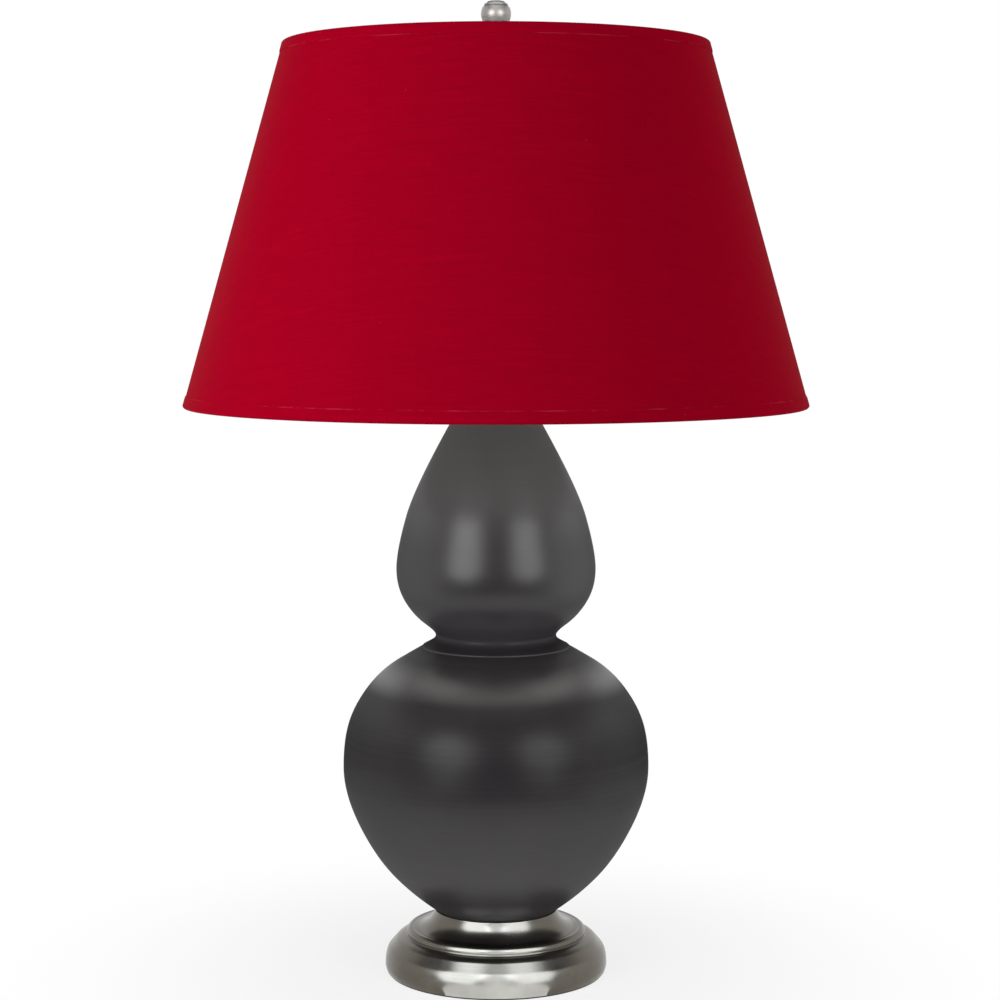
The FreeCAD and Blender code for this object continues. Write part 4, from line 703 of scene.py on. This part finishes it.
class LAMP_OT_foot(Operator):
    """Turns the metal foot, cuts the cord outlet into it and lays the felt under it"""

    bl_idname = "gourd_lamp.foot"
    bl_label = "Metal foot and felt"

    def execute(self, context):
        sizes = lamp().foot
        base, wall = FOOT_LOW.z, sizes.wall
        edge_radius = sizes.radius - sizes.edge

        def up(spot):
            return (spot[0], spot[1] + base)

        def within(spot, share=1.0):
            return (spot[0] - wall * share, base + spot[1] - wall)

        belly = (sizes.radius, base + sizes.edge_rise)
        upright = (sizes.radius, base + sizes.belly)
        seat, ceiling = up(sizes.seat), within(sizes.seat)
        outline = Outline((edge_radius, base)).line(belly)
        outline.flow([belly, upright, up(sizes.flank), up(sizes.shoulder), up(sizes.crest)], steps=14)
        outline.line(up(sizes.bead_low)).arc(up(sizes.bead), up(sizes.bead_high), steps=16)
        outline.line(up(sizes.step)).arc(up(sizes.cove), seat, steps=20)
        outline.line((sizes.bore, seat[1]), (sizes.bore, ceiling[1]), ceiling)
        outline.line(within(sizes.step), within(sizes.crest), within(sizes.flank, 1.2))
        outline.line((sizes.radius - wall * 1.3, base + sizes.edge_rise))
        outline.line((edge_radius - wall * 1.5, base)).close()
        mesh = outline.turned(BODY_STEPS)
        soften(mesh, 0.28 * MM, sharper_than=24.0)
        foot = finished(mesh, "turned_foot", "lamp", "metal_foot", dark_nickel())
        self.cut_outlet(foot)

        radii = [PAD_HIGH.x * share for share in (0.0, 0.5, 0.9, 1.0)]
        pad = Outline((radii[0], PAD_LOW.z)).line(*[(radius, PAD_LOW.z) for radius in radii[1:]])
        felt = pad.line(*[(radius, PAD_HIGH.z) for radius in reversed(radii)]).turned(PAD_STEPS)
        soften(felt, 0.45 * MM, sharper_than=40.0, segments=3)
        finished(felt, "felt_disc", "lamp", "felt_pad", pressed_felt())
        return {"FINISHED"}

    @staticmethod
    def cut_outlet(foot):
        """Cuts the flat land and the hole for the cord bushing into the back of the foot."""
        height = (BUSHING_LOW.z + BUSHING_HIGH.z) / 2
        depth = 40.0 * MM
        land = ((BUSHING_HIGH.x - BUSHING_LOW.x) / 2 + 0.1 * MM, FOOT_HIGH.x - 3.0 * MM)
        hole = (5.0 * MM, BUSHING_LOW.y - 4.0 * MM)
        lying = Matrix.Rotation(-QUARTER_TURN, 4, "X")
        for radius, start in (land, hole):
            tool = bmesh.new()
            where = Matrix.Translation((0.0, start + depth / 2, height)) @ lying
            bmesh.ops.create_cone(
                tool, cap_ends=True, segments=48, radius1=radius, radius2=radius, depth=depth, matrix=where
            )
            cutter = solid("cutter", tool)
            cut = foot.modifiers.new("cut", "BOOLEAN")
            cut.operation = "DIFFERENCE"
            cut.solver = "EXACT"
            cut.object = cutter
            bpy.context.view_layer.update()
            seen = foot.evaluated_get(bpy.context.evaluated_depsgraph_get())
            whole = bpy.data.meshes.new_from_object(seen)
            foot.modifiers.clear()
            foot.data = whole
            bpy.data.meshes.remove(cutter.data)  # and the cutter with it
        foot.data.set_sharp_from_angle(angle=CRISP)


class LAMP_OT_ceramic(Operator):
    """Throws the hollow double gourd body"""

    bl_idname = "gourd_lamp.ceramic"
    bl_label = "Ceramic body"

    def execute(self, context):
        sizes = lamp().ceramic
        base, step = BODY_LOW.z, sizes.collar_step
        radius, level = sizes.collar
        slant = (sizes.waist[1] - level) / (radius - sizes.waist[0])
        below, above = level - step / 2, level + step / 2
        lower = [
            sizes.foot,
            sizes.taper,
            sizes.flank,
            sizes.belly,
            (sizes.belly[0], sizes.belly[1] + sizes.belly_length),
            sizes.shoulder,
            sizes.slope,
        ]
        collar = [
            (radius + step * 6, below - step * 6 * slant),
            (radius + step, below - step * slant),
            (radius, below),
            (radius - step / 4, above),
            (radius - step * 1.5, above + step * slant),
        ]
        upper = [
            sizes.waist,
            (sizes.waist[0], sizes.waist[1] + sizes.waist_length),
            sizes.cup,
            sizes.crown,
            (sizes.crown[0], sizes.crown[1] + sizes.crown_length),
            sizes.neck,
            sizes.mouth,
        ]
        outside = [(spot[0], spot[1] + base) for spot in lower + collar + upper]
        inside = [(spot[0] - sizes.wall, spot[1] + base) for spot in reversed(lower[1:] + upper)]
        floor = base + sizes.floor
        outline = Outline(outside[0]).flow(outside, steps=16)
        outline.line(inside[0])
        outline.flow(inside + [(sizes.foot[0], floor)], steps=6)
        outline.line((sizes.floor_hole, floor), (sizes.floor_hole, base)).close()
        mesh = outline.turned(BODY_STEPS)
        soften(mesh, 0.5 * MM, sharper_than=40.0)
        finished(mesh, "gourd_body", "lamp", "ceramic_body", charcoal_glaze())
        return {"FINISHED"}


def round_the_axis(mesh):
    """Each face corner with its angle from the front, unbroken over the face, and the face's radius."""
    for face in mesh.faces:
        middle = face.calc_center_median()
        facing = math.atan2(middle.x, -middle.y)
        for loop in face.loops:
            turn = math.atan2(loop.vert.co.x, -loop.vert.co.y)
            yield loop, turn + FULL_TURN * round((facing - turn) / FULL_TURN), middle.xy.length


class ShadeCone:
    """The shade's cone, and the flat cut of its cloth."""

    def __init__(self, sizes):
        self.sizes = sizes
        self.narrowing = (sizes.low_radius - sizes.high_radius) / (sizes.high - sizes.low)
        slant = math.hypot(sizes.low_radius - sizes.high_radius, sizes.high - sizes.low)
        self.sine = (sizes.low_radius - sizes.high_radius) / slant

    def at(self, height, inside=0.0):
        return self.sizes.low_radius - (height - self.sizes.low) * self.narrowing - inside

    def lay_flat(self, mesh):
        """Maps the cloth as it was cut: a flat sector with its threads level at the front."""
        cloth = mesh.loops.layers.uv.new(CLOTH_MAP)
        for loop, turn, _ in round_the_axis(mesh):
            reach = loop.vert.co.xy.length / self.sine
            loop[cloth].uv = (reach * math.sin(turn * self.sine), -reach * math.cos(turn * self.sine))

    def flat_size(self, low, high):
        """Width and length of the flat cut, and its area."""
        far, near = self.at(low) / self.sine, self.at(high) / self.sine
        half = math.pi * self.sine
        return (2 * far * math.sin(half), far - near * math.cos(half)), half * (far * far - near * near)


def wrap_tape(mesh):
    """Maps a tape that goes round the lamp: along it in metres, and across it by its height and radius."""
    cloth = mesh.loops.layers.uv.new(CLOTH_MAP)
    for loop, turn, radius in round_the_axis(mesh):
        spot = loop.vert.co
        loop[cloth].uv = (turn * radius, spot.z + spot.xy.length)


class LAMP_OT_shade(Operator):
    """Stretches the cloth over the stiff liner and laps its seam at the back"""

    bl_idname = "gourd_lamp.shade"
    bl_label = "Shade"

    def execute(self, context):
        sizes = lamp().shade
        cone = ShadeCone(sizes)
        low, high = CLOTH_LOW.z, CLOTH_HIGH.z
        cloth = self.sleeve(cone, low, high, 0.0, sizes.cloth)
        cone.lay_flat(cloth)
        fabric = red_cloth()
        piece = finished(cloth, "stretched_cloth", "shade", "shade_cloth", fabric)

        behind = sizes.cloth + sizes.glue
        liner = self.sleeve(cone, low, high, behind, behind + sizes.liner)
        finished(liner, "stiff_liner", "shade", "shade_liner", white_liner())

        seam = self.seam(cone)
        cone.lay_flat(seam)
        lap = finished(seam, "lap_seam", "shade", "shade_seam", fabric)
        hems = [self.hem(cone, True, fabric), self.hem(cone, False, fabric)]
        flat, area = cone.flat_size(low, high)
        return {"FINISHED"}

    @staticmethod
    def sleeve(cone, low, high, outer, inner, rows=24):
        """A thin cone wall between two depths behind the cloth's face."""
        levels = [low + (high - low) * row / rows for row in range(rows + 1)]
        outline = Outline((cone.at(low, outer), low))
        outline.line(*[(cone.at(level, outer), level) for level in levels[1:]])
        outline.line(*[(cone.at(level, inner), level) for level in reversed(levels)]).close()
        return outline.turned(SHADE_STEPS)

    @staticmethod
    def seam(cone):
        sizes = cone.sizes
        low, high = SEAM_LOW.z, SEAM_HIGH.z
        out = -sizes.glue
        corners = [
            (cone.at(low, out), low),
            (cone.at(low, out - sizes.seam_thick), low),
            (cone.at(high, out - sizes.seam_thick), high),
            (cone.at(high, out), high),
        ]
        mesh = Outline(corners[0]).line(*corners[1:]).close().to_back()
        start = bmesh.ops.contextual_create(mesh, geom=mesh.edges[:])["faces"]
        angle = sizes.seam_width / cone.at(low)
        bmesh.ops.spin(mesh, geom=start, cent=(0, 0, 0), axis=(0, 0, 1), angle=angle, steps=6)
        bmesh.ops.recalc_face_normals(mesh, faces=mesh.faces[:])
        soften(mesh, 0.12 * MM, sharper_than=50.0)
        return mesh

    @staticmethod
    def hem(cone, is_low, fabric):
        """Tape of the same cloth, folded round a wire ring and glued inside and outside."""
        sizes = cone.sizes
        way = 1.0 if is_low else -1.0
        edge = sizes.low if is_low else sizes.high
        height = sizes.low_hem if is_low else sizes.high_hem
        tape, ring = sizes.tape, sizes.ring
        outer = ring + tape
        level = edge + way * outer
        at = cone.at(level) + sizes.glue - ring
        top = edge + way * height
        meet = edge + way * sizes.hem_return
        behind = sizes.cloth + 2 * sizes.glue + sizes.liner
        pressed = top - way * sizes.pressed
        outline = Outline((cone.at(pressed) + sizes.glue + tape, pressed))
        outline.line((at + outer, level))
        outline.arc((at, level - way * outer), (at - outer, level), steps=14)
        outline.line((at - outer, level + way * ring))
        outline.line((cone.at(meet, behind) - tape, meet), (cone.at(top, behind) - tape, top))
        outline.line((cone.at(top, behind), top), (cone.at(meet, behind), meet))
        outline.line((at - ring, level + way * ring), (at - ring, level))
        outline.arc((at, level - way * ring), (at + ring, level), steps=12)
        face = cone.at(top) + sizes.glue
        outline.line((face, top), (face + tape * 0.4, top)).close()
        mesh = outline.turned(SHADE_STEPS)
        wrap_tape(mesh)
        name, node = ("lower_hem", "low_hem") if is_low else ("upper_hem", "high_hem")
        return finished(mesh, name, "shade", node, fabric)


class LAMP_OT_finial(Operator):
    """Turns the grooved ball finial with its button"""

    bl_idname = "gourd_lamp.finial"
    bl_label = "Finial"

    def execute(self, context):
        sizes = lamp().finial
        base = FINIAL_LOW.z
        centre = base + sizes.ball_centre
        half = sizes.groove_width / 2

        def on_ball(level, depth=0.0):
            return (math.sqrt(sizes.ball**2 - level**2) - depth, centre + level)

        def groove(level):
            """A round-bottomed groove across the ball's face."""
            outline.arc(on_ball(level, sizes.groove_depth), on_ball(level + half), steps=6)

        stem = (sizes.stem[0], base + sizes.stem[1])
        foot_radius, foot_height = sizes.base
        outline = Outline((sizes.bore, base)).line((foot_radius, base), (foot_radius, base + foot_height))
        outline.line((sizes.stem[0] + half, base + foot_height * 1.5))
        outline.arc(stem, on_ball(-sizes.groove_high - half), steps=14)
        levels = [-sizes.groove_high, -sizes.groove_low, sizes.groove_low, sizes.groove_high]
        groove(levels[0])
        for below, level in zip(levels, levels[1:]):
            steps = 20 if level - below > sizes.groove_low else 4
            outline.arc(on_ball((below + level) / 2), on_ball(level - half), steps)
            groove(level)
        low, top = on_ball(sizes.groove_high + half + sizes.groove_depth)[1], FINIAL_HIGH.z
        outline.line((sizes.button, low))
        outline.arc((sizes.button * 1.05, (low + top) / 2), (sizes.button * 0.8, top - half / 2), steps=5)
        outline.line((sizes.button * 0.5, top), (0.0, top))
        bore_top = base + sizes.bore_height
        outline.leap((0.0, bore_top)).line((sizes.bore, bore_top)).close()
        mesh = outline.turned(FINIAL_STEPS)
        soften(mesh, 0.16 * MM, sharper_than=30.0)
        finished(mesh, "ball_finial", "finial", "finial", satin_nickel())
        return {"FINISHED"}


class LAMP_OT_hardware(Operator):
    """Gives the pipe, nuts, socket, bulb, harp and shade wires their finishes"""

    bl_idname = "gourd_lamp.hardware"
    bl_label = "Hardware finishes"

    def execute(self, context):
        bright = tuple(lamp().colours.bright)
        finishes = {
            "dark_nickel": bpy.data.materials.get("dark_nickel") or dark_nickel(),
            "bright_nickel": plain_metal("bright_nickel", bright, 0.16, (40.0, 40.0, 900.0)),
            "plain_steel": plain_metal("plain_steel", (0.48, 0.47, 0.45), 0.32, (900.0, 900.0, 60.0), 0.6),
            "brass": plain_metal("brass", (0.70, 0.50, 0.20), 0.24, (300.0, 300.0, 300.0), 0.65),
            "aluminium": plain_metal("aluminium", (0.72, 0.73, 0.74), 0.30, (60.0, 60.0, 1200.0), 0.8),
            "black_plastic": moulded("black_plastic", (0.022, 0.022, 0.023), 0.36),
            "rubber": moulded("rubber", (0.028, 0.028, 0.028), 0.62, 1100.0, 0.08),
            "fibre": fibre_board("fibre", (0.10, 0.06, 0.035), (0.16, 0.10, 0.06)),
            "card": fibre_board("card", (0.32, 0.25, 0.16), (0.44, 0.36, 0.25)),
            "frosted_glass": frosted_glass(),
        }
        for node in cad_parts.values():
            for holder in node.material_slots:
                if not node.hide_render and holder.material:
                    holder.material = finishes[holder.material.name.split(".")[0]]
        return {"FINISHED"}


def background_share(tree):
    """1 for the rays that should meet the white background: seen, mirrored or let through."""
    rays = ("Is Camera Ray", "Is Glossy Ray", "Is Transmission Ray")
    seen, mirrored, through = [tree.add("ShaderNodeLightPath", output=ray) for ray in rays]
    return seen.most(mirrored).most(through)


class LAMP_OT_stage(Operator):
    """Sets the pale floor, the soft studio light and the camera"""

    bl_idname = "gourd_lamp.stage"
    bl_label = "Stage"

    def execute(self, context):
        self.lay_floor()
        self.light_world(context.scene)
        cloth = ("stretched_cloth", "lower_hem", "upper_hem", "lap_seam")
        foot, finial, liner, ceramic = ("turned_foot",), ("ball_finial",), ("stiff_liner",), ("gourd_body",)
        own = cloth + foot
        cool = (0.78, 0.87, 1.0)
        # Azimuth, distance, size, height and glow, then the pieces that it lights or spares.
        self.softbox("left_softbox", -36.0, 2.0, (1.4, 1.5), 0.80, 4.3, spare=own)
        self.softbox("right_softbox", 36.0, 2.0, (1.3, 1.5), 0.80, 3.7, spare=own)
        self.softbox("cloth_left", -50.0, 2.0, (1.2, 1.2), 0.70, 8.6, only=cloth)
        self.softbox("cloth_right", 70.0, 2.0, (1.2, 1.2), 0.70, 3.9, only=cloth)
        self.softbox("foot_left", -38.0, 1.0, (1.05, 2.6), 1.10, 9.0, only=foot, tint=cool)
        self.softbox("foot_right", 38.0, 1.0, (1.05, 2.6), 1.10, 7.4, only=foot, tint=cool)
        self.softbox("foot_middle", 0.0, 1.1, (0.8, 2.6), 1.10, 4.8, only=foot, tint=cool)
        self.softbox("finial_card", 0.0, 0.8, (1.8, 1.8), 1.0, 1.0, only=finial)
        above = self.softbox("finial_top", 0.0, 0.0, (1.2, 1.2), 1.5, 1.2, only=finial)
        above.rotation_euler = (0.0, 0.0, 0.0)
        self.softbox("body_left", -96.0, 1.5, (2.2, 1.8), 0.10, 0.22, only=ceramic)
        self.softbox("body_right", 96.0, 1.5, (2.2, 1.8), 0.10, 0.40, only=ceramic)
        table = self.softbox("table_card", 0.0, 0.42, (0.34, 0.7), 0.001, 4.0, only=foot, tint=cool)
        below = self.softbox("under_fill", 0.0, 0.0, (0.9, 0.9), 0.02, 3.2, only=liner)
        for light in (table, below):
            light.rotation_euler = (math.pi, 0.0, 0.0)
        camera = placed("camera", bpy.data.cameras.new("camera"))
        camera.location = CAMERA_SPOT
        camera.rotation_euler = (QUARTER_TURN - CAMERA_DIP, 0.0, 0.0)
        camera.data.lens = CAMERA_LENS
        camera.data.sensor_width = 36.0
        camera.data.shift_x = CAMERA_SHIFT
        camera.data.clip_start = 0.05
        camera.data.clip_end = 50.0
        context.scene.camera = camera
        context.scene.view_settings.view_transform = "Standard"
        return {"FINISHED"}

    @staticmethod
    def lay_floor():
        ground = bmesh.new()
        bmesh.ops.create_circle(ground, cap_ends=True, segments=96, radius=FLOOR_RADIUS)
        floor = solid("floor", ground)
        tree = new_material("pale_floor")
        along, across, _ = tree.parts(tree.place())
        away = (along * along + across * across) ** 0.5
        seen = background_share(tree)
        shadow_start, shadow_end, shadow_share = 0.09, 0.45, 0.80
        share = seen * tree.between(away, shadow_start, shadow_end, low=shadow_share)
        paper = tree.add("ShaderNodeBsdfDiffuse", None, {"Color": (0.86, 0.86, 0.86, 1.0)})
        white = tree.add("ShaderNodeEmission", None, {"Color": (1.0, 1.0, 1.0, 1.0), "Strength": 1.0})
        both = tree.add("ShaderNodeMixShader", None, (share, paper, white))
        tree.end("ShaderNodeOutputMaterial", both)
        floor.data.materials.append(tree.owner)

    @staticmethod
    def light_world(scene):
        """Even light before a white background, which is dark in front and overhead for mirrored rays."""
        world = bpy.data.worlds.new("studio")
        scene.world = world
        tree = Tree(world)
        camera = tree.add("ShaderNodeLightPath", output="Is Camera Ray")
        seen = background_share(tree)
        _, depth, rise = tree.parts(tree.add("ShaderNodeTexCoord", output="Generated"))
        dark_front, dark_ceiling = 0.05, 0.04
        front = tree.between(depth, -0.9, 0.1, low=dark_front)
        mirrored = front * tree.between(rise, 0.45, 0.75, 1.0, dark_ceiling)
        strength = seen * camera.most(mirrored) + (1.0 - seen) * AMBIENT
        sky = tree.add("ShaderNodeBackground", None, {"Color": (1.0, 1.0, 1.0, 1.0), "Strength": strength})
        tree.end("ShaderNodeOutputWorld", sky)

    @staticmethod
    def softbox(name, azimuth, distance, size, height, glow, only=(), spare=(), tint=(1.0, 1.0, 1.0)):
        """A flat soft light of an even glow, turned to the lamp; azimuth 0 is at the front.

        It lights every piece, or only some, or spares some.
        """
        data = bpy.data.lights.new(name, "AREA")
        data.shape = "ELLIPSE"
        data.size, data.size_y = size
        data.energy = glow * math.pi * (math.pi / 4 * size[0] * size[1])
        data.color = tint
        light = placed(name, data)
        turn = math.radians(azimuth)
        light.location = (distance * math.sin(turn), -distance * math.cos(turn), height)
        light.rotation_euler = (QUARTER_TURN, 0.0, turn)
        light.visible_camera = False
        if only or spare:
            linked = bpy.data.collections.new(f"{name}_pieces")
            for piece in only or spare:
                linked.objects.link(bpy.data.objects[piece])
            for member in linked.collection_objects:
                member.light_linking.link_state = "INCLUDE" if only else "EXCLUDE"
            light.light_linking.receiver_collection = linked
        return light


class LAMP_PT_sidebar(Panel):
    """Lists the lamp's pieces in the sidebar"""

    bl_idname = "LAMP_PT_sidebar"
    bl_label = "Double Gourd Lamp"
    bl_space_type = "VIEW_3D"
    bl_region_type = "UI"
    bl_category = "Lamp"

    def draw(self, context):
        settings = lamp()
        groups = (settings.foot, settings.ceramic, settings.shade, settings.finial, settings.colours, None)
        for operator, group in zip(OPERATORS, groups):
            box = self.layout.box()
            box.label(text=operator.bl_label)
            if group is not None:
                for name in group.__annotations__:
                    box.prop(group, name)
            box.operator(operator.bl_idname)


SETTINGS = (FootSizes, CeramicSizes, ShadeSizes, FinialSizes, LampColours, LampSettings)
OPERATORS = (LAMP_OT_foot, LAMP_OT_ceramic, LAMP_OT_shade, LAMP_OT_finial, LAMP_OT_hardware, LAMP_OT_stage)
CLASSES = (*SETTINGS, *OPERATORS, LAMP_PT_sidebar)


def register():
    for each in CLASSES:
        bpy.utils.register_class(each)
    bpy.types.Scene.gourd_lamp = PointerProperty(type=LampSettings)


def unregister():
    del bpy.types.Scene.gourd_lamp
    for each in reversed(CLASSES):
        bpy.utils.unregister_class(each)


def main():
    register()
    bpy.ops.gourd_lamp.foot()
    bpy.ops.gourd_lamp.ceramic()
    bpy.ops.gourd_lamp.shade()
    bpy.ops.gourd_lamp.finial()
    bpy.ops.gourd_lamp.hardware()
    bpy.ops.gourd_lamp.stage()


if __name__ == "__main__":
    main()
